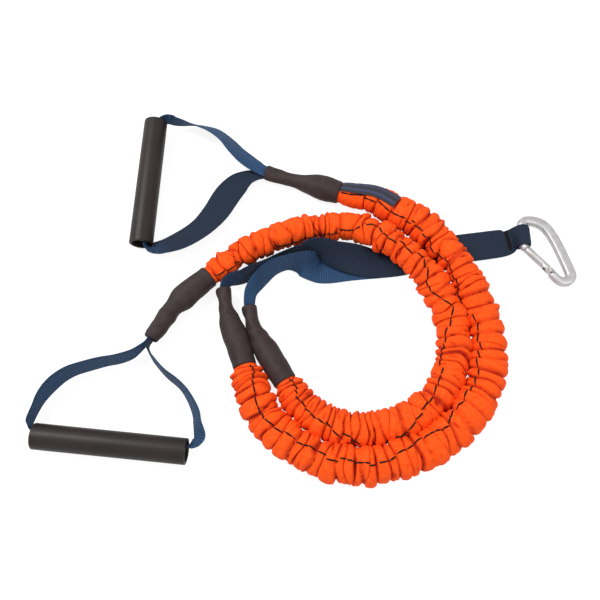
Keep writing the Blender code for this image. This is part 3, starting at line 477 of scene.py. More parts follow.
    def build(self, name, finish):
        """The fabric as a closed skin, with a plain bore that lies over the core."""
        rings = int(self.length / COVER_STEP)
        marks = np.linspace(0.0, self.length, rings)
        angles = FULL_TURN * np.arange(COVER_SIDES) / COVER_SIDES
        mark, angle = np.meshgrid(marks, angles, indexing="ij")
        points, _, drop = self.surface(mark.ravel(), angle.ravel())
        skin = points.reshape(rings, COVER_SIDES, 3)
        bore = []
        bore_marks = np.linspace(self.length, 0.0, int(self.length / BORE_STEP))
        for ring_mark in bore_marks:
            point, _, across, rise = self.frame(np.full(COVER_SIDES, ring_mark))
            out = across * np.cos(angles)[:, None] + rise * np.sin(angles)[:, None]
            bore.append(point + out * COVER_BORE)
        rows = np.concatenate([skin, np.array(bore)])
        girth = FULL_TURN * max(radius for _, radius in self.sizes)
        made = round_skin(name, rows, np.concatenate([marks, bore_marks]), girth, finish)
        # How deep the creases and pinches sink at each skin point, from 0 to 1; the material paints
        # shade into the creases from it
        depth = made.data.attributes.new("crease", "FLOAT", "POINT")
        values = np.zeros(len(made.data.vertices), np.float32)
        values[:len(drop)] = drop
        depth.data.foreach_set("value", values)
        return made

    def seam_angle(self, mark):
        marks, degrees = zip(*self.seam)
        return float(np.interp(mark, marks, np.radians(degrees)))

    def stitch_spots(self):
        """Pairs of distance and angle for both ends of each stitch, broken at every crease."""
        rng = self.rng
        spots = []
        edges = [SEAM_MARGIN, *self.creases, self.length - SEAM_MARGIN]
        for start, end in zip(edges, edges[1:]):
            jump = rng.uniform(-SEAM_JUMP, SEAM_JUMP)
            slope = rng.uniform(-SEAM_SLOPE, SEAM_SLOPE)
            middle = (start + end) / 2
            free = end - start - 2 * STITCH_INSET
            count = max(1, round((free - 2 * STITCH_INSET) / STITCH_PITCH))
            for number in range(count):
                first = start + STITCH_INSET + free * number / count
                last = first + free / count * STITCH_SHARE
                spots.append([(at, self.seam_angle(at) + jump + slope * (at - middle))
                              for at in (first, last)])
        return spots

    def build_seam(self, name, finish):
        """Stitches of the dark thread, each a short bowed capsule on the fabric."""
        work = bmesh.new()
        for first, last in self.stitch_spots():
            steps = np.linspace(0.0, 1.0, STITCH_POINTS)
            mark = first[0] + (last[0] - first[0]) * steps
            angle = first[1] + (last[1] - first[1]) * steps
            line, out, _ = self.surface(mark, angle, THREAD_RADIUS * THREAD_SUNK)
            capsule(work, line, out, THREAD_RADIUS)
        return finished(name, work, finish)


def finished(name, work, finish, sharp=None):
    """Turns a bmesh into an object with a material and smooth shading."""
    bmesh.ops.recalc_face_normals(work, faces=work.faces)
    mesh = bpy.data.meshes.new(name)
    work.to_mesh(mesh)
    work.free()
    return add_object(name, mesh, finish, sharp)


def add_object(name, mesh, finish, sharp=None):
    mesh.materials.append(finish)
    mesh.shade_smooth()
    if sharp:
        mesh.set_sharp_from_angle(angle=math.radians(sharp))
    made = bpy.data.objects.new(name, mesh)
    bpy.context.scene.collection.objects.link(made)
    return made


def capsule(work, line, out, radius):
    """Adds a thread with closed ends along a few points, into a bmesh."""
    sides = THREAD_SIDES
    line = [Vector(p) for p in line]
    out = [Vector(o) for o in out]
    rings = []
    for index, point in enumerate(line):
        along = (line[min(index + 1, len(line) - 1)] - line[max(index - 1, 0)]).normalized()
        side = along.cross(out[index]).normalized()
        rise = side.cross(along)
        size = radius * (THREAD_END if index in (0, len(line) - 1) else 1.0)
        rings.append([work.verts.new(point + side * (size * math.cos(angle))
                                     + rise * (size * math.sin(angle)))
                      for angle in angles_round(sides, 0.0)])
    for row, following in zip(rings, rings[1:]):
        for k in range(sides):
            work.faces.new((row[k], row[(k + 1) % sides], following[(k + 1) % sides], following[k]))
    work.faces.new(rings[0])
    work.faces.new(rings[-1])


def round_skin(name, rows, marks, girth, finish):
    """A closed pipe from rows of points that go out along the skin and back along the bore."""
    count, sides = rows.shape[0], rows.shape[1]
    verts = rows.reshape(-1, 3)
    row = np.arange(count)[:, None]
    column = np.arange(sides)[None, :]
    after = (column + 1) % sides
    below = (row + 1) % count
    faces = np.stack([row * sides + column, row * sides + after, below * sides + after,
                      below * sides + column], axis=-1).reshape(-1, 4)
    mesh = bpy.data.meshes.new(name)
    mesh.from_pydata(verts.tolist(), [], faces.tolist())
    along = np.concatenate([marks, [marks[0]]])
    layer = mesh.uv_layers.new(name="fabric")
    u = np.broadcast_to(np.arange(sides)[None, :], (count, sides)) * (girth / sides)
    u_after = u + girth / sides
    v = np.broadcast_to(along[:count, None], (count, sides))
    v_after = np.broadcast_to(along[1:count + 1, None], (count, sides))
    corners = np.stack([np.stack([u, v], -1), np.stack([u_after, v], -1),
                        np.stack([u_after, v_after], -1), np.stack([u, v_after], -1)], axis=2)
    layer.data.foreach_set("uv", corners.reshape(-1).astype(np.float32))
    work = bmesh.new()
    work.from_mesh(mesh)
    bmesh.ops.recalc_face_normals(work, faces=work.faces)
    work.to_mesh(mesh)
    work.free()
    return add_object(name, mesh, finish)


class Nodes:
    """Short ways to add nodes to a tree."""

    def __init__(self, tree):
        self.tree = tree

    def set(self, node, values):
        for key, value in values.items():
            node.inputs[key].default_value = value

    def join(self, source, target):
        self.tree.links.new(source, target)

    def node(self, kind, values=None, **settings):
        made = self.tree.nodes.new(kind)
        for key, value in settings.items():
            setattr(made, key, value)
        self.set(made, values or {})
        return made

    def maths(self, kind, first, second):
        made = self.node("ShaderNodeMath", operation=kind)
        for index, value in enumerate((first, second)):
            if isinstance(value, (int, float)):
                made.inputs[index].default_value = value
            else:
                self.join(value, made.inputs[index])
        return made.outputs[0]

    def mixed(self, first, first_share, second, second_share):
        """Two values added, each with its share."""
        return self.maths("ADD", self.maths("MULTIPLY", first, first_share),
                          self.maths("MULTIPLY", second, second_share))

    def seen(self):
        """1 for the rays that see a surface itself, in the picture or in metal or glass."""
        rays = self.node("ShaderNodeLightPath").outputs
        mirrored = self.maths("MAXIMUM", rays["Is Glossy Ray"], rays["Is Transmission Ray"])
        return self.maths("MAXIMUM", rays["Is Camera Ray"], mirrored)


class Look(Nodes):
    """A material that is built up node by node."""

    def __init__(self, name, roughness, metallic=0.0, **sockets):
        self.material = bpy.data.materials.new(name)
        self.material.use_nodes = True
        super().__init__(self.material.node_tree)
        self.shader = self.tree.nodes["Principled BSDF"]
        self.set(self.shader, {"Roughness": roughness, "Metallic": metallic})
        self.set(self.shader, {key.replace("_", " "): value for key, value in sockets.items()})

    def fabric_place(self):
        """The fabric's own coordinates in metres."""
        return self.node("ShaderNodeUVMap", uv_map="fabric").outputs["UV"]

    def object_place(self, scale=(1.0, 1.0, 1.0)):
        source = self.node("ShaderNodeTexCoord")
        mapping = self.node("ShaderNodeMapping", {"Scale": scale})
        self.join(source.outputs["Object"], mapping.inputs["Vector"])
        return mapping.outputs["Vector"]

    def stored(self, name):
        """A value that the mesh keeps at each of its points."""
        return self.node("ShaderNodeAttribute", attribute_name=name).outputs["Fac"]

    def noise(self, where, scale, detail=3.0, roughness=0.5):
        made = self.node("ShaderNodeTexNoise", {"Scale": scale, "Detail": detail,
                                                "Roughness": roughness})
        self.join(where, made.inputs["Vector"])
        return made.outputs["Fac"]

    def waves(self, where, scale, direction, distortion=0.0):
        made = self.node("ShaderNodeTexWave", {"Scale": scale, "Distortion": distortion},
                         wave_type="BANDS", bands_direction=direction)
        self.join(where, made.inputs["Vector"])
        return made.outputs["Fac"]

    def ramp(self, factor, stops):
        made = self.node("ShaderNodeValToRGB")
        while len(made.color_ramp.elements) < len(stops):
            made.color_ramp.elements.new(0.5)
        for element, (position, colour) in zip(made.color_ramp.elements, stops):
            element.position = position
            element.color = (*colour, 1.0)
        self.join(factor, made.inputs["Fac"])
        return made.outputs["Color"]

    def tint(self, first, second):
        """Two colours multiplied."""
        made = self.node("ShaderNodeVectorMath", operation="MULTIPLY")
        self.join(first, made.inputs[0])
        self.join(second, made.inputs[1])
        return made.outputs["Vector"]

    def bump(self, height, distance, strength):
        made = self.node("ShaderNodeBump", {"Distance": distance, "Strength": strength})
        self.join(height, made.inputs["Height"])
        if self.shader.inputs["Normal"].is_linked:
            before = self.shader.inputs["Normal"].links[0].from_socket
            self.join(before, made.inputs["Normal"])
        self.join(made.outputs["Normal"], self.shader.inputs["Normal"])

    def colour(self, source):
        self.join(source, self.shader.inputs["Base Color"])

    def two_tones(self, factor, tones):
        """Colours the material between a dark and a light tone."""
        self.colour(self.ramp(factor, list(zip(TONE_STOPS, tones))))

    def rough(self, factor, low, high):
        made = self.node("ShaderNodeMapRange", {"To Min": low, "To Max": high})
        self.join(factor, made.inputs["Value"])
        self.join(made.outputs["Result"], self.shader.inputs["Roughness"])


# Linear colours. A pair is a dark tone and a light one
TONE_STOPS = (0.3, 0.7)
PLAIN_WHITE = (1.0, 1.0, 1.0)
ORANGES = ((0.74, 0.050, 0.003), (0.87, 0.084, 0.0055), (0.96, 0.110, 0.008))
# Painted shade: the orange cloth is darkened and reddened by this tint in its creases
CREASE_PAINTED_SHADE = (0.50, 0.22, 0.35)
NAVIES = ((0.0090, 0.0240, 0.0560), (0.0165, 0.0510, 0.1200), (0.0250, 0.0800, 0.1750))
# Painted shade multiplied into one face of the webbing
PAINTED_SHADE_TINT = (0.50, 0.33, 0.30)
TAG_COLOURS = ((0.007, 0.007, 0.013), (0.010, 0.011, 0.024), (0.038, 0.040, 0.130))
THREAD_TONES = ((0.005, 0.003, 0.002), (0.016, 0.009, 0.006))
RUBBER_TONES = ((0.0240, 0.0150, 0.0148), (0.0390, 0.0260, 0.0255))
GRIP_TONES = ((0.015, 0.011, 0.0095), (0.021, 0.0155, 0.0135))
LATEX_TONES = ((0.55, 0.40, 0.25), (0.66, 0.50, 0.33))
STOPPER_TONES = ((0.010, 0.010, 0.010), (0.018, 0.018, 0.018))
ALUMINIUM_TONES = ((0.40, 0.393, 0.393), (0.52, 0.512, 0.512))
STEEL_TONES = ((0.48, 0.48, 0.49), (0.62, 0.62, 0.63))
FLOOR_COLOUR = (0.86, 0.86, 0.86, 1.0)
FLOOR_DIM = (0.25, 0.25, 0.255, 1.0)


def orange_fabric():
    look = Look("orange_fabric", roughness=0.80, Specular_IOR_Level=0.16)
    place_in = look.fabric_place()
    patches = look.noise(place_in, scale=260.0, detail=4.0, roughness=0.6)
    weft = look.waves(place_in, scale=430.0, direction="X", distortion=0.6)
    warp = look.waves(place_in, scale=480.0, direction="Y", distortion=0.6)
    weave = look.maths("MULTIPLY", weft, warp)
    cloth = look.ramp(look.mixed(patches, 0.75, weave, 0.25), list(zip((0.22, 0.45, 0.75), ORANGES)))
    # Painted shade: a darker, redder colour is multiplied in where the stored crease depth is high
    fold = look.ramp(look.stored("crease"), [(0.22, PLAIN_WHITE), (0.72, CREASE_PAINTED_SHADE)])
    look.colour(look.tint(cloth, fold))
    look.bump(weave, distance=0.00010, strength=0.45)
    rumples = look.noise(place_in, scale=520.0, detail=3.0, roughness=0.6)
    look.bump(rumples, distance=0.00025, strength=0.5)
    return look.material


def dark_thread():
    look = Look("dark_thread", roughness=0.78, Specular_IOR_Level=0.15)
    fibre = look.noise(look.object_place(), scale=2600.0, detail=2.0)
    look.two_tones(fibre, THREAD_TONES)
    look.bump(fibre, distance=0.00010, strength=0.5)
    return look.material


def navy_webbing():
    look = Look("navy_webbing", roughness=0.74, Specular_IOR_Level=0.22)
    place_in = look.fabric_place()
    picks = look.waves(place_in, scale=165.0, direction="Y", distortion=0.4)
    ends = look.waves(place_in, scale=330.0, direction="X", distortion=0.8)
    soft_ends = look.maths("ADD", look.maths("MULTIPLY", ends, 0.5), 0.5)
    weave = look.maths("MULTIPLY", picks, soft_ends)
    patches = look.noise(place_in, scale=340.0, detail=4.0, roughness=0.65)
    cloth = look.ramp(look.mixed(weave, 0.62, patches, 0.42), list(zip((0.12, 0.45, 0.85), NAVIES)))
    # Painted shade: one face of the webbing is darkened by the stored shade value
    side = look.ramp(look.stored("shade"), [(0.0, PLAIN_WHITE), (1.0, PAINTED_SHADE_TINT)])
    look.colour(look.tint(cloth, side))
    look.rough(weave, low=0.82, high=0.60)
    look.bump(weave, distance=0.00030, strength=0.9)
    look.bump(patches, distance=0.00012, strength=0.4)
    return look.material


def sleeve_rubber():
    look = Look("sleeve_rubber", roughness=0.60, Specular_IOR_Level=0.20)
    place_in = look.object_place()
    look.two_tones(look.noise(place_in, scale=130.0, detail=4.0, roughness=0.6), RUBBER_TONES)
    look.rough(look.noise(place_in, scale=420.0), low=0.54, high=0.74)
    look.bump(look.noise(place_in, scale=900.0), distance=0.00010, strength=0.35)
    look.bump(look.noise(place_in, scale=150.0, detail=2.0), distance=0.0006, strength=0.35)
    return look.material


def grip_plastic():
    look = Look("grip_plastic", roughness=0.46, Specular_IOR_Level=0.22)
    place_in = look.object_place()
    look.two_tones(look.noise(place_in, scale=45.0, detail=4.0, roughness=0.6), GRIP_TONES)
    scuffs = look.noise(place_in, scale=300.0, detail=4.0, roughness=0.65)
    look.rough(scuffs, low=0.38, high=0.56)
    look.bump(look.noise(place_in, scale=1400.0, detail=2.0), distance=0.00006, strength=0.30)
    return look.material


def latex():
    look = Look("latex", roughness=0.5, Specular_IOR_Level=0.4)
    place_in = look.object_place()
    look.two_tones(look.noise(place_in, scale=120.0), LATEX_TONES)
    look.bump(look.noise(place_in, scale=900.0), distance=0.00006, strength=0.3)
    return look.material


def stopper_plastic():
    look = Look("stopper_plastic", roughness=0.5)
    grain = look.noise(look.object_place(), scale=900.0)
    look.two_tones(grain, STOPPER_TONES)
    look.bump(grain, distance=0.00005, strength=0.3)
    return look.material


def metal(name, tones, roughness, grain_scale):
    look = Look(name, roughness, metallic=1.0)
    place_in = look.object_place()
    look.two_tones(look.noise(place_in, scale=160.0, detail=5.0, roughness=0.65), tones)
    scratches = look.noise(look.object_place((1.0, 0.15, 1.0)), grain_scale, detail=4.0, roughness=0.6)
    look.rough(scratches, low=roughness - 0.10, high=roughness + 0.14)
    look.bump(look.noise(place_in, scale=700.0), distance=0.00007, strength=0.35)
    return look.material


def tag_weave():
    look = Look("tag_weave", roughness=0.74, Sheen_Weight=0.03)
    place_in = look.fabric_place()
    stripes = look.waves(place_in, scale=52.0, direction="X")
    threads = look.waves(place_in, scale=480.0, direction="Y", distortion=0.6)
    cloth = look.mixed(stripes, 0.72, threads, 0.28)
    look.colour(look.ramp(cloth, list(zip((0.30, 0.66, 0.92), TAG_COLOURS))))
    look.bump(threads, distance=0.00012, strength=0.6)
    return look.material


def set_camera():
    lens = bpy.data.cameras.new("portrait_camera")
    lens.sensor_width = SENSOR
    lens.lens = LENS
    lens.clip_start = CLIP_START
    camera = bpy.data.objects.new("portrait_camera", lens)
    camera.location = CAMERA_PLACE
    camera.rotation_euler = (CAMERA_PITCH, 0.0, 0.0)
    bpy.context.scene.collection.objects.link(camera)
    bpy.context.scene.camera = camera


def add_lamp(name, place_at, size, watts):
    lamp = bpy.data.lights.new(name, "AREA")
    lamp.shape = "DISK"
    lamp.size = size
    lamp.energy = watts
    made = bpy.data.objects.new(name, lamp)
    made.location = place_at
    aim = Vector(LAMP_TARGET) - Vector(place_at)
    made.rotation_euler = aim.to_track_quat("-Z", "Y").to_euler()
    bpy.context.scene.collection.objects.link(made)


def set_light():
    scene = bpy.context.scene
    scene.view_settings.view_transform = "Standard"
    scene.view_settings.look = "None"
    scene.world = bpy.data.worlds.new("studio")
    scene.world.use_nodes = True
    sky = Nodes(scene.world.node_tree)
    ground = sky.tree.nodes["Background"]
    sky.set(ground, {"Color": (*PLAIN_WHITE, 1.0)})
    extra = sky.maths("MULTIPLY", sky.seen(), WORLD_SEEN - WORLD_LEVEL)
    sky.join(sky.maths("ADD", extra, WORLD_LEVEL), ground.inputs["Strength"])
    add_lamp("key_lamp", place_at=(-0.75, 0.35, 1.25), size=0.55, watts=17.0)
    add_lamp("fill_lamp", place_at=(0.90, -0.50, 1.20), size=1.00, watts=7.0)


def lay_floor():
    look = Look("pale_floor", roughness=0.9)
    look.set(look.shader, {"Base Color": FLOOR_COLOUR})
    glow = look.node("ShaderNodeEmission", {"Strength": FLOOR_GLOW})
    dim = look.node("ShaderNodeBsdfDiffuse", {"Color": FLOOR_DIM})
    both = look.node("ShaderNodeAddShader")
    look.join(glow.outputs[0], both.inputs[0])
    look.join(dim.outputs[0], both.inputs[1])
    choice = look.node("ShaderNodeMixShader")
    for index, source in enumerate((look.seen(), look.shader.outputs[0], both.outputs[0])):
        look.join(source, choice.inputs[index])
    look.join(choice.outputs[0], look.tree.nodes["Material Output"].inputs["Surface"])
    mesh = bpy.data.meshes.new("floor")
    mesh.from_pydata([(x * FLOOR_HALF, y * FLOOR_HALF, FLOOR_LEVEL) for x, y in
                      ((-1, -1), (1, -1), (1, 1), (-1, 1))], [], [(0, 1, 2, 3)])
    add_object("floor", mesh, look.material)


def ring_skin(name, rings, finish, spots=None, closed=False, sharp=None):
    """A skin over rings of points, with caps, or joined end to start where it is closed."""
    work = bmesh.new()
    layer = work.loops.layers.uv.new("fabric")
    rows = [[work.verts.new(p) for p in ring] for ring in rings]
    pairs = list(zip(range(len(rows)), range(1, len(rows))))
    if closed:
        pairs.append((len(rows) - 1, 0))
    for low, high in pairs:
        count = len(rows[low])
        for k in range(count):
            after = (k + 1) % count
            face = work.faces.new((rows[low][k], rows[low][after], rows[high][after],
                                   rows[high][k]))
            if spots:
                corners = (spots[low][k], spots[low][after], spots[high][after], spots[high][k])
                for loop, corner in zip(face.loops, corners):
                    loop[layer].uv = corner
    if not closed:
        work.faces.new(rows[0])
        work.faces.new(rows[-1])
    return finished(name, work, finish, sharp)


# Shrunk sleeves
SLEEVE_RINGS = 72
SLEEVE_ROUND = 48
BAND_START = 0.0085
BAND_LENGTH = 0.0080
BAND_LIFT = 0.00028
BAND_MARGIN = 0.001
BAND_SLOPE = 0.0016
LIP_REACH = 0.0006
LIP_ROLL = 0.00045
SLEEVE_DENT = 0.00036
DENT_START = 0.35
DENT_GROWTH = 0.3
DENT_SIZES = (0.4, 1.0)
DENT_COUNT = 4
DENTS_ALONG = 190
DENTS_MORE = 110


def sleeve(name, fitting, seed, finish):
    """A shrunk sleeve: soft dents, the ridge of the band below it and rolled lips."""
    rng = np.random.default_rng(seed)
    waves = rng.uniform(*DENT_SIZES, DENT_COUNT)
    phases = rng.uniform(0.0, FULL_TURN, (DENT_COUNT, 2))
    sizes = catmull(list(zip(fitting.widths, fitting.heights)), ROUTE_STEPS)
    band_end = BAND_START + BAND_LENGTH
    outer, inner = [], []
    for index in range(SLEEVE_RINGS + 1):
        share = index / SLEEVE_RINGS
        distance = fitting.route.length * share
        place_in = share * (len(sizes) - 1)
        low = min(int(place_in), len(sizes) - 2)
        width, height = (a + (b - a) * (place_in - low) for a, b in zip(sizes[low], sizes[low + 1]))
        band = min(distance - BAND_START, band_end - distance)
        ridge = BAND_LIFT * ramp_up(band, -BAND_MARGIN, BAND_SLOPE)
        edge = min(distance, fitting.route.length - distance)
        lip = LIP_ROLL * (1 - min(edge / LIP_REACH, 1.0)) ** 2
        point, _, across, rise = fitting.route.frame(distance)
        far = ramp_up(share, DENT_START, DENT_GROWTH)
        ring, hole = [], []
        for angle in angles_round(SLEEVE_ROUND):
            dent = sum(wave * math.sin((number + 1) * angle + round_phase)
                       * math.sin(distance * (DENTS_ALONG + DENTS_MORE * number) + along_phase)
                       for number, (wave, (round_phase, along_phase)) in enumerate(zip(waves, phases)))
            grow = ridge - lip + SLEEVE_DENT * far * dent
            for target, more in ((ring, grow), (hole, -SLEEVE_WALL)):
                target.append(point + across * ((width + more) * math.cos(angle))
                              + rise * ((height + more) * math.sin(angle)))
        outer.append(ring)
        inner.append(hole)
    return ring_skin(name, outer + inner[::-1], finish, closed=True)


# Grips: the steps of the rounded rims in degrees, and the bevel of the bore
RIM_DEGREES = (90, 70, 50, 30, 10, 0)
BORE_EDGE = 0.0003
GRIP_ROUND = 96


class Grip:
    """The place of one grip: a tube along its axis, which the webbing runs through."""

    def __init__(self, end, way, tilt, inner_side):
        level = Vector((*way, 0.0)).normalized() * math.cos(tilt)
        self.way = level + UP * math.sin(tilt)
        self.start = place(*end, GRIP_RADIUS * math.cos(tilt))
        self.finish = self.start + self.way * GRIP_LENGTH
        aside = Vector((*inner_side, 0.0))
        self.inner = (aside - self.way * aside.dot(self.way)).normalized()

    def exit(self, share, seat=STRAP_SEAT):
        """Where the webbing's middle lies in the bore, at a share of the length."""
        centre = self.start.lerp(self.finish, share)
        return centre + self.inner * seat

    def build(self, name, finish):
        """A tube with rounded rims, cut square."""
        side = self.way.cross(UP).normalized()
        rise = side.cross(self.way)
        bore = GRIP_RADIUS - GRIP_WALL
        profile = []
        for end, sense in ((0.0, 1.0), (GRIP_LENGTH, -1.0)):
            fillet = [(end + sense * GRIP_EDGE * (1 - math.sin(turn)),
                       GRIP_RADIUS - GRIP_EDGE * (1 - math.cos(turn)))
                      for turn in map(math.radians, RIM_DEGREES)]
            profile += fillet if sense > 0 else fillet[::-1]
        profile += [(GRIP_LENGTH, bore + BORE_EDGE), (GRIP_LENGTH - BORE_EDGE, bore),
                    (BORE_EDGE, bore), (0.0, bore + BORE_EDGE)]
        rings = []
        for distance, radius in profile:
            centre = self.start + self.way * distance
            rings.append([centre + side * (radius * math.cos(a)) + rise * (radius * math.sin(a))
                          for a in angles_round(GRIP_ROUND, 0.0)])
        return ring_skin(name, rings, finish, closed=True, sharp=GRIP_SHARP)


GRIP_1 = Grip(end=(-0.1424, 0.0496), way=(0.0055, 0.1249), tilt=GRIP_TILT, inner_side=(1.0, 0.0))
GRIP_2 = Grip(end=(-0.2151, -0.1217), way=(0.1244, -0.0124), tilt=0.0, inner_side=(0.1, 1.0))

# Legs of the handles' webbing, from the sleeve's mouth to the grip's end. Each row: the share of
# the straight way, the distance to its left, the height, the roll in degrees and the width.
FULL = WEBBING_WIDTH
LEG_1_FAR = [
    (0.050, -0.0004, 0.0102, 6, 0.0120), (0.105, -0.0014, 0.0102, 16, 0.0150),
    (0.16, -0.0025, 0.0102, 26, 0.0185), (0.23, -0.0046, 0.0102, 36, 0.0230),
    (0.33, -0.0084, 0.0102, 46, FULL), (0.445, -0.0138, 0.0102, 50, FULL),
    (0.585, -0.0174, 0.0102, 50, FULL), (0.69, -0.0162, 0.0115, 54, FULL),
    (0.785, -0.0130, 0.0130, 60, 0.0262), (0.865, -0.0100, 0.0142, 72, 0.0235),
    (0.935, -0.0075, 0.0152, 82, 0.0200)]
LEG_1_NEAR = [
    (0.045, -0.0028, 0.0074, 176, 0.0112), (0.090, -0.0056, 0.0066, 171, 0.0142),
    (0.140, -0.0076, 0.0056, 169, 0.0195), (0.210, -0.0078, 0.0050, 170, 0.0250),
    (0.32, -0.0038, 0.0048, 172, FULL), (0.465, 0.0052, 0.0052, 168, FULL),
    (0.59, 0.0104, 0.0060, 160, FULL), (0.70, 0.0120, 0.0066, 156, FULL),
    (0.80, 0.0116, 0.0074, 153, FULL), (0.875, 0.0100, 0.0080, 150, 0.0252),
    (0.94, 0.0078, 0.0086, 147, 0.0226)]
LEG_2_LEFT = [
    (0.045, 0.0006, 0.0112, 90, 0.0112), (0.11, 0.0014, 0.0120, 90, 0.0170),
    (0.185, 0.0008, 0.0, 90, 0.0235), (0.273, -0.0026, 0.0, 90, FULL),
    (0.364, -0.0087, 0.0, 91, FULL), (0.475, -0.0147, 0.0, 92, FULL),
    (0.571, -0.0192, 0.0, 92, FULL), (0.658, -0.0208, 0.0, 92, FULL),
    (0.747, -0.0200, 0.0, 92, FULL), (0.835, -0.0176, 0.0128, 90, 0.0250),
    (0.91, -0.0138, 0.0118, 88, 0.0215)]
LEG_2_RIGHT = [
    (0.05, -0.0041, 0.0112, 90, 0.0112), (0.12, -0.0046, 0.0120, 92, 0.0170),
    (0.20, -0.0032, 0.0, 94, 0.0235), (0.355, 0.0020, 0.0, 94, FULL),
    (0.486, 0.0090, 0.0, 96, FULL), (0.589, 0.0125, 0.0, 100, FULL),
    (0.702, 0.0141, 0.0, 104, FULL), (0.80, 0.0142, 0.0134, 108, FULL),
    (0.870, 0.0126, 0.0124, 114, 0.0245)]

# How the webbing lies in a grip and turns out of its end. Each row: the distance beyond the end,
# the distance towards the sleeve, the width and the roll.
BORE_WIDTH = 0.0153
END_WIDTH = 0.0122
END_SEAT = 0.0042
END_SHARE = 0.015
CURL_SHARES = (0.2, 0.5, 0.8)
TURN_FAR = [(0.0018, 0.0002, 0.0122, 90), (0.0036, 0.0042, 0.0146, 90),
            (0.0040, 0.0082, 0.0168, 88)]
TURN_NEAR = [(0.0014, 0.0004, 0.0128, 112), (0.0034, 0.0044, 0.0165, 130),
             (0.0040, 0.0088, 0.0198, 142)]
TURN_LEFT = [(0.0018, 0.0002, 0.0122, 90), (0.0044, 0.0038, 0.0150, 90),
             (0.0058, 0.0080, 0.0178, 90)]
TURN_RIGHT = [(0.0020, 0.0003, 0.0128, 118), (0.0058, 0.0034, 0.0170, 128),
              (0.0086, 0.0080, 0.0205, 124)]

# The cut of the webbing
WEBBING_STEPS = 5
WEBBING_COLUMNS = 13
EDGE_CROWDING = 0.35
CURL_LEAST = 1.0
SELVAGE_POWER = 12
SELVAGE_LEAST = 0.20

# Angles in degrees from which an edge counts as sharp
GRIP_SHARP = 35.0
GATE_SHARP = 40.0
WEBBING_SHARP = 50.0
BAR_SHARP = 60.0


def rolled(point, along, roll, width, thickness=WEBBING_THICKNESS):
    """A station whose width leans by roll from level, lifted where it would go under the floor."""
    level = UP.cross(along).normalized()
    angle = math.radians(roll)
    edge = level * math.cos(angle) + UP * math.sin(angle)
    reach = width / 2 * abs(math.sin(angle)) + thickness / 2 * abs(math.cos(angle)) + FLOOR_GAP
    return Station(Vector((point.x, point.y, max(point.z, reach))), edge, width, thickness)


def ribbon(name, stations, finish, steps=WEBBING_STEPS, dark=None):
    """A strip of webbing through stations, with rounded selvages. Dark gives the face on which shade
    is painted, darker, and the distances along the strip between which the painted shade comes in."""
    rows = catmull([station.row() for station in stations], steps)
    points = [Vector(row[:3]) for row in rows]
    rings, spots = [], []
    run = 0.0
    for index, row in enumerate(rows):
        after = points[min(index + 1, len(points) - 1)]
        before = points[max(index - 1, 0)]
        if index:
            run += (points[index] - before).length
        along = (after - before).normalized()
        edge = Vector(row[3:6])
        edge = (edge - along * edge.dot(along)).normalized()
        face = along.cross(edge)
        width, thickness, curl = row[6:9]
        top, bottom, across = [], [], []
        for column in range(WEBBING_COLUMNS):
            share = column / (WEBBING_COLUMNS - 1) * 2 - 1
            share = math.sin(share * math.pi / 2) * EDGE_CROWDING + share * (1 - EDGE_CROWDING)
            aside = share * width / 2
            if abs(curl) > CURL_LEAST:
                turn = curl * aside
                centre = (points[index] + edge * (math.sin(turn) / curl)
                          + face * ((1 - math.cos(turn)) / curl))
                normal = face * math.cos(turn) - edge * math.sin(turn)
            else:
                centre = points[index] + edge * aside
                normal = face
            half = thickness / 2 * max(1 - abs(share) ** SELVAGE_POWER, SELVAGE_LEAST)
            top.append(centre + normal * half)
            bottom.append(centre - normal * half)
            across.append((aside, run))
        rings.append(top + bottom[::-1])
        spots.append(across + across[::-1])
    made = ring_skin(name, rings, finish, spots, sharp=WEBBING_SHARP)
    # Painted shade: a value on the points of one face, rising from 0 to 1 between two distances along
    # the strip
    if dark:
        face_name, start, end = dark
        sides = np.repeat([face_name == "top", face_name == "bottom"], WEBBING_COLUMNS)
        runs = np.array([spot[0][1] for spot in spots])
        values = np.outer(np.clip((runs - start) / (end - start), 0.0, 1.0), sides)
        layer = made.data.attributes.new("shade", "FLOAT", "POINT")
        layer.data.foreach_set("value", values.ravel().astype(np.float32))
    return made


def stations_on(points, rows, start, goal, outward):
    """Rolled stations at points, each turned along the line through its neighbours. Outward is
    True where the strip runs from the start to the goal."""
    stations = []
    for index, (point, row) in enumerate(zip(points, rows)):
        before = points[index - 1] if index else start
        after = points[index + 1] if index + 1 < len(points) else goal
        along = after - before if outward else before - after
        along.z = 0.0
        stations.append(rolled(point, along.normalized(), *row[3:]))
    return stations


def leg_stations(mouth, goal, rows, outward):
    """Stations of one leg between the sleeve's mouth and its goal at the grip."""
    way = goal - mouth
    way.z = 0.0
    left = UP.cross(way.normalized())
    points = [mouth + way * row[0] + left * row[1] for row in rows]
    for point, row in zip(points, rows):
        point.z = row[2]
    return stations_on(points, rows, mouth, goal, outward)


def turn_stations(grip, share, rows, outward):
    """Stations where the webbing bends round a grip's rim, from the bore outwards."""
    out = grip.way if share else -grip.way
    flat = Vector((out.x, out.y, 0.0)).normalized()
    start = grip.exit(share, END_SEAT)
    stations = [Station(grip.exit(abs(share - END_SHARE), END_SEAT), UP, END_WIDTH)]
    ways = (flat, flat + grip.inner, grip.inner)
    for (beyond, aside, width, roll), way in zip(rows, ways):
        along = Vector((way.x, way.y, 0.0)).normalized()
        point = start + flat * beyond + grip.inner * aside
        stations.append(rolled(point, -along if outward else along, roll, width))
    return stations


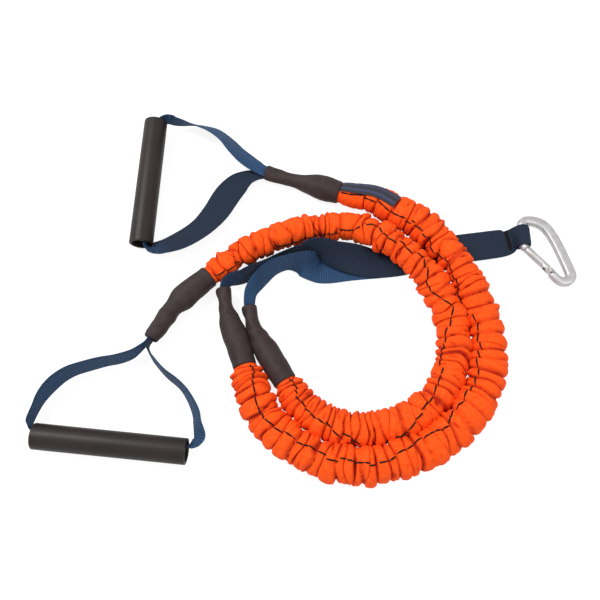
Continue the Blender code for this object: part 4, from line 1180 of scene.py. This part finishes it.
def handle_strap(name, fitting, grip, first_leg, second_leg, first_turn, second_turn, first_share,
                 finish, dark):
    """One strip: out of the sleeve, through the grip and back into the sleeve."""
    mouth = fitting.mouth()
    far, near = first_share, 1 - first_share
    side = -1 if fitting.turned else 1
    stations = fitting.tail(side)
    stations += leg_stations(mouth, grip.exit(far), first_leg, True)
    stations += turn_stations(grip, far, first_turn, True)[::-1]
    for share in CURL_SHARES:
        stations.append(Station(grip.exit(abs(far - share)), UP, BORE_WIDTH,
                                curl=1 / STRAP_CURL_RADIUS))
    stations += turn_stations(grip, near, second_turn, False)
    stations += leg_stations(mouth, grip.exit(near), second_leg, False)[::-1]
    stations += fitting.tail(-side)[::-1]
    return ribbon(name, stations, finish, dark=dark)


# Anchor strap. Each row: the place of its middle line, its height, its roll in degrees and its
# width. The shared rows leave out height and roll.
LOOP_WIDTH = 0.0192
LAYER_LOW = FLOOR_GAP + WEBBING_THICKNESS / 2
LAYER_HIGH = LAYER_LOW + WEBBING_THICKNESS + GAP
SHARED_LEG = [
    (0.0895, 0.0362, FULL), (0.1070, 0.0410, FULL), (0.1262, 0.0458, FULL),
    (0.1450, 0.0490, FULL), (0.1627, 0.0514, FULL), (0.1800, 0.0540, 0.0265),
    (0.1880, 0.0556, 0.0245)]
ANCHOR_LEG_1 = [
    (-0.0652, 0.0102, 0.0126, 58, 0.0118), (-0.0595, 0.0146, 0.0130, 64, 0.0150),
    (-0.0505, 0.0180, 0.0, 74, 0.0200), (-0.0405, 0.0220, 0.0, 82, 0.0250),
    (-0.0295, 0.0275, 0.0, 90, FULL), (-0.0180, 0.0335, 0.0, 90, FULL),
    (-0.0050, 0.0385, 0.0, 87, FULL), (0.0050, 0.0410, 0.0, 84, FULL),
    (0.0125, 0.0422, 0.0176, 79, FULL), (0.0205, 0.0408, 0.0190, 69, FULL),
    (0.0290, 0.0378, 0.0168, 58, FULL), (0.0380, 0.0360, 0.0142, 46, FULL),
    (0.0493, 0.0349, 0.0102, 28, FULL), (0.0600, 0.0344, 0.0060, 10, FULL),
    (0.0700, 0.0342, LAYER_HIGH, 0, FULL)]
ANCHOR_LEG_2 = [
    (-0.0434, -0.0004, 0.0122, 146, 0.0120), (-0.0408, 0.0076, 0.0110, 138, 0.0145),
    (-0.0340, 0.0172, 0.0, 118, 0.0205), (-0.0250, 0.0252, 0.0, 104, 0.0250),
    (-0.0134, 0.0296, 0.0, 96, FULL), (-0.0040, 0.0307, 0.0, 104, FULL),
    (0.0045, 0.0306, 0.0, 126, 0.0262), (0.0112, 0.0294, 0.0, 160, 0.0250),
    (0.0175, 0.0280, LAYER_LOW, 180, 0.0250), (0.0250, 0.0280, LAYER_LOW, 180, 0.0255),
    (0.0330, 0.0290, LAYER_LOW, 180, 0.0256), (0.0430, 0.0312, LAYER_LOW, 180, FULL),
    (0.0560, 0.0326, LAYER_LOW, 180, FULL), (0.0700, 0.0338, LAYER_LOW, 180, FULL)]
FIRST_TAIL_LEAN = 35.0
SECOND_TAIL_LEAN = 55.0
ANCHOR_STEPS = 4

# Where shade is painted on each strip: the face painted darker, and from where to where along it
ANCHOR_PAINTED_SHADE = ("top", 0.05, 0.10)
STRAP_1_PAINTED_SHADE = ("bottom", 0.305, 0.340)
STRAP_2_PAINTED_SHADE = ("top", 0.06, 0.14)

# Carabiner, drawn flat: the middle line of its bar from the nose to the gate's pivot
BAR_RADIUS = 0.0040
BAR_LOOP_X = 0.2014
BAR_BEND = 0.0060
NOSE_BEND_Y = 0.0511
CORNER_BEND_Y = 0.0688
PIVOT = (0.2216, 0.0268)
LOOP_GAP = 0.0012
LOOP_RADIUS = BAR_RADIUS + LOOP_GAP + WEBBING_THICKNESS / 2
BAR_LOOP_Z = LOOP_RADIUS + LAYER_LOW
FAR_REACH = 0.0395
BAR_FLAT = BAR_RADIUS * math.cos(math.pi / 8)
CARABINER_TILT = math.asin((BAR_LOOP_Z - BAR_FLAT) / FAR_REACH)
LOOP_MIDDLE_Y = 0.0586

# Where the strap narrows into its loop: a place, and the way across the webbing there
LOOP_TURNS = (135, 90, 45, 0, -45, -90)
TOP_ENTRY = (0.1922, 0.0578)
TOP_ENTRY_EDGE = Vector((-0.33, 0.94, 0.0))
LOW_ENTRY = (0.1945, 0.0578)
LOW_ENTRY_EDGE = Vector((-0.24, 0.97, 0.0))


def arc(x, y, radius, start, end, steps):
    angles = [math.radians(start + (end - start) * step / steps) for step in range(steps + 1)]
    return [(x + radius * math.cos(angle), y + radius * math.sin(angle)) for angle in angles]


CARABINER_LINE = arc(BAR_LOOP_X + BAR_BEND, NOSE_BEND_Y, BAR_BEND, 222.6, 180, 3)
CARABINER_LINE += arc(BAR_LOOP_X + BAR_BEND, CORNER_BEND_Y, BAR_BEND, 180, 90, 4)
CARABINER_LINE += [
    (0.2130, 0.0745), (0.2188, 0.0726), (0.2236, 0.0690), (0.2274, 0.0634),
    (0.2310, 0.0560), (0.2343, 0.0468), (0.2374, 0.0369), (0.2400, 0.0280),
    (0.2412, 0.0216), (0.2382, 0.0168), (0.2325, 0.0155), (0.2277, 0.0182),
    (0.2246, 0.0222)]


def anchor_strap(name, finish):
    """One folded strip from one tube's sleeve, round the carabiner, back to the other sleeve."""
    def leg(rows, start, goal, outward):
        return stations_on([place(*row[:3]) for row in rows], rows, start, goal, outward)

    first, second = ANCHOR_FITTING_1, ANCHOR_FITTING_2
    join = place(*SHARED_LEG[0][:2])
    top = [(x, y, LAYER_HIGH, 0, width) for x, y, width in SHARED_LEG]
    low = [(x, y, LAYER_LOW, 180, width) for x, y, width in SHARED_LEG]
    bar = place(BAR_LOOP_X, LOOP_MIDDLE_Y, BAR_LOOP_Z)
    stations = first.tail(1, True, FIRST_TAIL_LEAN)
    stations += leg(ANCHOR_LEG_1, first.mouth(), join, True)
    stations += leg(top, place(*ANCHOR_LEG_1[-1][:2]), bar, True)
    across = Vector((0.0, 1.0, 0.0))
    stations.append(Station(place(*TOP_ENTRY, LAYER_HIGH), TOP_ENTRY_EDGE, LOOP_WIDTH))
    for turn in LOOP_TURNS:
        angle = math.radians(turn)
        point = bar + Vector((math.cos(angle), 0.0, math.sin(angle))) * LOOP_RADIUS
        stations.append(Station(point, across, LOOP_WIDTH))
    stations.append(Station(place(*LOW_ENTRY, LAYER_LOW), LOW_ENTRY_EDGE, LOOP_WIDTH))
    stations += leg(low, place(*ANCHOR_LEG_2[-1][:2]), bar, False)[::-1]
    stations += leg(ANCHOR_LEG_2, second.mouth(), join, False)[::-1]
    stations += second.tail(1, True, SECOND_TAIL_LEAN)[::-1]
    return ribbon(name, stations, finish, ANCHOR_STEPS, ANCHOR_PAINTED_SHADE)


# Bar of stitches that closes the strap's loop
STITCH_LINE = [(0.1903, 0.0470), (0.1876, 0.0662)]
STITCH_WIDTH = 0.0026
STITCH_COUNT = 30
STITCH_REACH = 0.6
STITCH_LIFT = 0.0002
STITCH_BOW = 0.0003
STITCH_RADIUS = 0.00038


def bar_stitches(name, finish):
    """Tight zigzag stitches over the strap."""
    height = LAYER_HIGH + WEBBING_THICKNESS / 2 + STITCH_LIFT
    ends = [place(x, y, height) for x, y in STITCH_LINE]
    way = ends[1] - ends[0]
    across = way.normalized().cross(UP)
    work = bmesh.new()
    for number in range(STITCH_COUNT):
        first = ends[0] + way * (number / STITCH_COUNT) - across * (STITCH_WIDTH / 2)
        last = ends[0] + way * ((number + STITCH_REACH) / STITCH_COUNT) + across * (STITCH_WIDTH / 2)
        if number % 2:
            first, last = last, first
        middle = first.lerp(last, 0.5) + UP * STITCH_BOW
        capsule(work, [first, middle, last], [UP, UP, UP], STITCH_RADIUS)
    return finished(name, work, finish)


def carabiner_point(x, y, lift=0.0):
    """A point of the carabiner, turned about the bar that the strap holds until it lies down."""
    flat = place(x, y, BAR_LOOP_Z + lift)
    pivot = place(BAR_LOOP_X, y, BAR_LOOP_Z)
    return pivot + Matrix.Rotation(CARABINER_TILT, 3, "Y") @ (flat - pivot)


# The bar: round where the strap holds it, pressed towards a square over the rows of its spine
BAR_ROUND = 28
BAR_STEPS = 5
TONGUE_STEPS = 4
ROUND_POWER = 2.0
PRESSED_POWER = 3.4
PRESSED_FROM = 7
PRESSED_TO = 20
PRESSED_OVER = 3
SPINE_HALF = 0.0035
SPINE_SPREAD = 0.0006
NOSE_CAP = 0.00035
NOSE_SHARE = 0.88
TONGUE_HALF = 0.0015
TONGUE_ROOT = TONGUE_HALF * 1.08

# The tongue's places along the gate's axis, its half width, its half height and its power
TONGUE = [(-0.0036, 0.0036, TONGUE_ROOT, 2.6), (0.0, 0.0034, TONGUE_HALF, 2.8),
          (0.0026, 0.0024, TONGUE_HALF, 2.8)]

# The gate, along its own axis from the pivot
GATE_WAY = Vector((-0.6776, 0.7354))
GATE_SIDE = Vector((0.7354, 0.6776))
GATE_RADIUS = 0.0034
GATE_BACK = 0.0030
GATE_REACH = 0.0270
GATE_ROUND = 40
PIN_ROUND = 32
SLOT_DEPTH = 0.0046
SLOT_REACH = 0.006
HOLE_RADIUS = 0.0014
HOLE_REACH = 0.008

# Places along the gate and the share of its radius there: a peened ring beyond the slot, and
# rounded ends
GATE_PROFILE = [
    (-GATE_BACK, 0.70), (-GATE_BACK + 0.0003, 0.88), (-GATE_BACK + 0.0009, 1.0),
    (SLOT_DEPTH + 0.0014, 1.0), (SLOT_DEPTH + 0.0018, 0.93), (SLOT_DEPTH + 0.0024, 0.93),
    (SLOT_DEPTH + 0.0028, 1.0), (GATE_REACH - 0.0007, 1.0), (GATE_REACH - 0.0002, 0.93),
    (GATE_REACH, 0.80)]


def squarish(angle, power):
    """A point on a circle that is pressed towards a square as the power grows above 2."""
    c, s = math.cos(angle), math.sin(angle)
    return (math.copysign(abs(c) ** (2 / power), c), math.copysign(abs(s) ** (2 / power), s))


def carabiner_bar(name, finish):
    """The bent bar, round at the loop and pressed flat along the spine, with the gate's tongue."""
    rows = []
    for index, point in enumerate(CARABINER_LINE):
        pressed = (ramp_up(index, PRESSED_FROM, PRESSED_OVER)
                   * ramp_up(-index, -PRESSED_TO, PRESSED_OVER))
        rows.append((*point, BAR_RADIUS + SPINE_SPREAD * pressed,
                     BAR_RADIUS + (SPINE_HALF - BAR_RADIUS) * pressed,
                     ROUND_POWER + (PRESSED_POWER - ROUND_POWER) * pressed))
    bent = len(rows)
    rows += [(*(Vector(PIVOT) + GATE_WAY * distance), *sizes) for distance, *sizes in TONGUE]
    nose = (*rows[0][:2], BAR_RADIUS * NOSE_SHARE, BAR_RADIUS * NOSE_SHARE, ROUND_POWER)
    line = [nose, *catmull(rows[:bent], BAR_STEPS), *catmull(rows[bent - 1:], TONGUE_STEPS)[1:]]
    rings = []
    for index, (x, y, wide, high, power) in enumerate(line):
        before = line[index - 1] if index else line[1]
        after = line[min(index + 1, len(line) - 1)] if index else line[2]
        along = Vector((after[0] - before[0], after[1] - before[1])).normalized()
        if index == 0:
            x, y = Vector((x, y)) - along * NOSE_CAP
        ring = []
        for angle in angles_round(BAR_ROUND):
            aside, lift = squarish(angle, power)
            ring.append(carabiner_point(x - along.y * wide * aside, y + along.x * wide * aside,
                                        high * lift))
        rings.append(ring)
    return ring_skin(name, rings, finish, sharp=BAR_SHARP)


def gate_spot(distance, aside, lift):
    flat = Vector(PIVOT) + GATE_WAY * distance + GATE_SIDE * aside
    return carabiner_point(flat.x, flat.y, lift)


def gate_bar(name, stations, finish, sides):
    """A bar along the gate's axis from rows of distance, half width and half height."""
    rings = []
    for distance, wide, high in stations:
        rings.append([gate_spot(distance, wide * math.cos(angle), high * math.sin(angle))
                      for angle in angles_round(sides)])
    return ring_skin(name, rings, finish, sharp=GATE_SHARP)


def pin(name, reach, radius, finish):
    """A round piece along the gate's hinge, as long above its middle as below."""
    rings = [[gate_spot(radius * math.cos(angle), radius * math.sin(angle), lift)
              for angle in angles_round(PIN_ROUND)] for lift in (-reach, reach)]
    return ring_skin(name, rings, finish, sharp=GATE_SHARP)


def carve(target, cutters):
    """Cuts shapes out of a piece for good and takes the cutters away."""
    for cutter in cutters:
        step = target.modifiers.new(cutter.name, "BOOLEAN")
        step.operation = "DIFFERENCE"
        step.solver = "EXACT"
        step.object = cutter
    graph = bpy.context.evaluated_depsgraph_get()
    carved = bpy.data.meshes.new_from_object(target.evaluated_get(graph))
    target.modifiers.clear()
    target.data = carved
    carved.set_sharp_from_angle(angle=math.radians(GATE_SHARP))
    for cutter in cutters:
        bpy.data.objects.remove(cutter)


def carabiner_gate(name, finish):
    """The sprung gate: a round bar with a slot for the tongue, a rivet hole and a peened ring."""
    rows = [(distance, GATE_RADIUS * share, GATE_RADIUS * share) for distance, share in GATE_PROFILE]
    gate = gate_bar(name, rows, finish, GATE_ROUND)
    corner = math.sqrt(2.0)
    slot_rows = [(distance, SLOT_REACH * corner, (TONGUE_ROOT + GAP) * corner)
                 for distance in (-SLOT_REACH, SLOT_DEPTH)]
    slot = gate_bar("slot_shape", slot_rows, finish, sides=4)
    hole = pin("hole_shape", HOLE_REACH, HOLE_RADIUS, finish)
    carve(gate, [slot, hole])
    return gate


# Woven tag on the outer cover, beside its handle's sleeve
TAG_WIDTH = 0.0132
TAG_THICKNESS = 0.0008
TAG_START = 0.0003
TAG_LENGTH = 0.0540
TAG_LEANS = (math.radians(70.0), math.radians(91.0))
TAG_STEPS = 12
TAG_RISE = 0.0005
TAG_TUCK = 0.0016
TAG_TUCK_STEPS = 4
TAG_CURL = -72.0
TAG_SMOOTHING = 3


def woven_tag(name, cover, finish):
    """A strip of woven tape that lies along the cover with its first end tucked in."""
    stations = []
    for step in range(TAG_STEPS + 1):
        mark = COVER_SEAT + TAG_START + TAG_LENGTH * step / TAG_STEPS
        point, _, across, rise = cover.route.frame(cover.start + mark)
        swell = float(cover.swell(mark))
        radius = COVER_END_RADIUS + (float(cover.size(mark)) - COVER_END_RADIUS) * swell
        lean = TAG_LEANS[0] + (TAG_LEANS[1] - TAG_LEANS[0]) * step / TAG_STEPS
        out = across * math.cos(lean) + rise * math.sin(lean)
        edge = across * math.sin(lean) - rise * math.cos(lean)
        tuck = TAG_TUCK * max(0.0, 1.0 - step / TAG_TUCK_STEPS)
        lift = radius + TAG_RISE + GAP + TAG_THICKNESS - tuck
        stations.append(Station(point + out * lift, edge, TAG_WIDTH, TAG_THICKNESS, TAG_CURL))
    return ribbon(name, stations, finish, TAG_SMOOTHING)


# Distance along the cover in metres and angle in degrees of each seam
OUTER_SEAM = [(0.000, 112), (0.030, 112), (0.060, 125), (0.100, 129), (0.115, 150), (0.135, 142),
              (0.175, 158), (0.195, 137), (0.230, 132), (0.255, 126), (0.285, 137), (0.300, 112),
              (0.325, 124), (0.345, 102), (0.365, 80), (0.390, 92), (0.435, 100), (0.460, 74),
              (0.480, 95), (0.500, 108), (0.525, 122)]
INNER_SEAM = [(0.000, 130), (0.025, 140), (0.045, 176), (0.090, 165), (0.145, 128), (0.165, 78),
              (0.175, 108), (0.195, 97), (0.215, 86), (0.230, 120), (0.247, 128), (0.263, 80),
              (0.285, 122), (0.305, 145), (0.335, 120), (0.365, 80), (0.390, 30), (0.405, -10),
              (0.421, 46), (0.440, 76), (0.460, 84), (0.497, 116)]

# Distance between creases at distances along each cover
OUTER_PITCHES = [(0.0, 0.032), (0.032, 0.016), (0.062, 0.014), (0.082, 0.0080), (0.135, 0.0072),
                 (0.220, 0.0085), (0.330, 0.0090), (0.380, 0.0070), (0.450, 0.0085), (0.490, 0.0065),
                 (0.530, 0.0055)]
INNER_PITCHES = [(0.0, 0.0100), (0.030, 0.0070), (0.048, 0.0060), (0.066, 0.0140), (0.092, 0.0150),
                 (0.102, 0.0050), (0.120, 0.0052), (0.128, 0.0150), (0.142, 0.0110), (0.160, 0.0075),
                 (0.250, 0.0075), (0.330, 0.0085), (0.400, 0.0070), (0.450, 0.0060), (0.500, 0.0055)]

# Radius of each cover at distances along it
OUTER_SIZES = [(0.0, 0.0102), (0.014, 0.0112), (0.030, 0.0122), (0.044, 0.0143), (0.070, 0.0155),
               (0.100, 0.0151), (0.120, 0.0141), (0.150, 0.0143), (0.180, 0.0152), (0.500, 0.0153)]
INNER_SIZES = [(0.0, 0.0112), (0.060, 0.0114), (0.090, 0.0122), (0.115, 0.0132), (0.160, 0.0134),
               (0.200, 0.0131), (0.240, 0.0134), (0.270, 0.0141), (0.500, 0.0143)]

# Seeds of the random draws
OUTER_SEED = 11
INNER_SEED = 23


def settle(piece, node, body):
    """Sets a piece in a node's place and on its body."""
    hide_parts(node)
    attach(piece, body)


def main():
    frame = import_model()
    nodes = frame["nodes"]
    set_camera()
    set_light()
    lay_floor()
    orange = orange_fabric()
    thread = dark_thread()

    outer = Cover(run_of(HANDLE_FITTING_1, OUTER_TUBE_POINTS, ANCHOR_FITTING_1),
                  OUTER_SIZES, OUTER_PITCHES, OUTER_SEED, OUTER_SEAM)
    inner = Cover(run_of(HANDLE_FITTING_2, INNER_TUBE_POINTS, ANCHOR_FITTING_2),
                  INNER_SIZES, INNER_PITCHES, INNER_SEED, INNER_SEAM)
    for number, cover in ((1, outer), (2, inner)):
        fabric = cover.build(f"pleated_cover_{number}", orange)
        settle(fabric, f"tube_cover_{number}", "tubes")
        seam = cover.build_seam(f"cover_seam_{number}", thread)
        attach(seam, "tubes")
        if cover is outer:
            tag = woven_tag("striped_tag", outer, tag_weave())
            settle(tag, "woven_tag", "tubes")
    rubber = sleeve_rubber()
    webbing = navy_webbing()
    plastic = grip_plastic()
    aluminium = metal("aluminium", ALUMINIUM_TONES, roughness=0.50, grain_scale=420.0)
    steel = metal("band_steel", STEEL_TONES, roughness=0.36, grain_scale=600.0)
    fittings = {"handle_sleeve_1": HANDLE_FITTING_1, "handle_sleeve_2": HANDLE_FITTING_2,
                "anchor_sleeve_1": ANCHOR_FITTING_1, "anchor_sleeve_2": ANCHOR_FITTING_2}
    for seed, (node, fitting) in enumerate(fittings.items()):
        settle(sleeve(f"shrunk_{node}", fitting, seed, rubber), node, "tubes")
    settle(GRIP_1.build("rolling_grip_1", plastic), "grip_1", "grip_roller_1")
    settle(GRIP_2.build("rolling_grip_2", plastic), "grip_2", "grip_roller_2")
    strap_1 = handle_strap("handle_webbing_1", HANDLE_FITTING_1, GRIP_1, LEG_1_FAR, LEG_1_NEAR,
                           TURN_FAR, TURN_NEAR, 1.0, webbing, STRAP_1_PAINTED_SHADE)
    strap_2 = handle_strap("handle_webbing_2", HANDLE_FITTING_2, GRIP_2, LEG_2_LEFT, LEG_2_RIGHT,
                           TURN_LEFT, TURN_RIGHT, 0.0, webbing, STRAP_2_PAINTED_SHADE)
    for number, strap, fitting in ((1, strap_1, HANDLE_FITTING_1), (2, strap_2, HANDLE_FITTING_2)):
        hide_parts(f"handle_strap_{number}")
        mouth = fitting.mouth()
        way = fitting.route.direction(fitting.route.length)
        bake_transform(strap)
    settle(anchor_strap("anchor_webbing", webbing), "anchor_strap", "tubes")
    settle(bar_stitches("loop_stitches", thread), "anchor_stitch", "tubes")
    settle(carabiner_bar("carabiner_bar", aluminium), "carabiner_body", "carabiner")
    settle(carabiner_gate("sprung_gate", aluminium), "carabiner_gate", "gate")
    rubber_core, stopper = latex(), stopper_plastic()
    for name, node in nodes.items():
        if "crimp" in name or name in ("gate_rivet", "gate_spring"):
            node.data.materials[0] = steel
        elif "plug" in name:
            node.data.materials[0] = stopper
        elif "tube_core" in name:
            node.data.materials[0] = rubber_core


main()
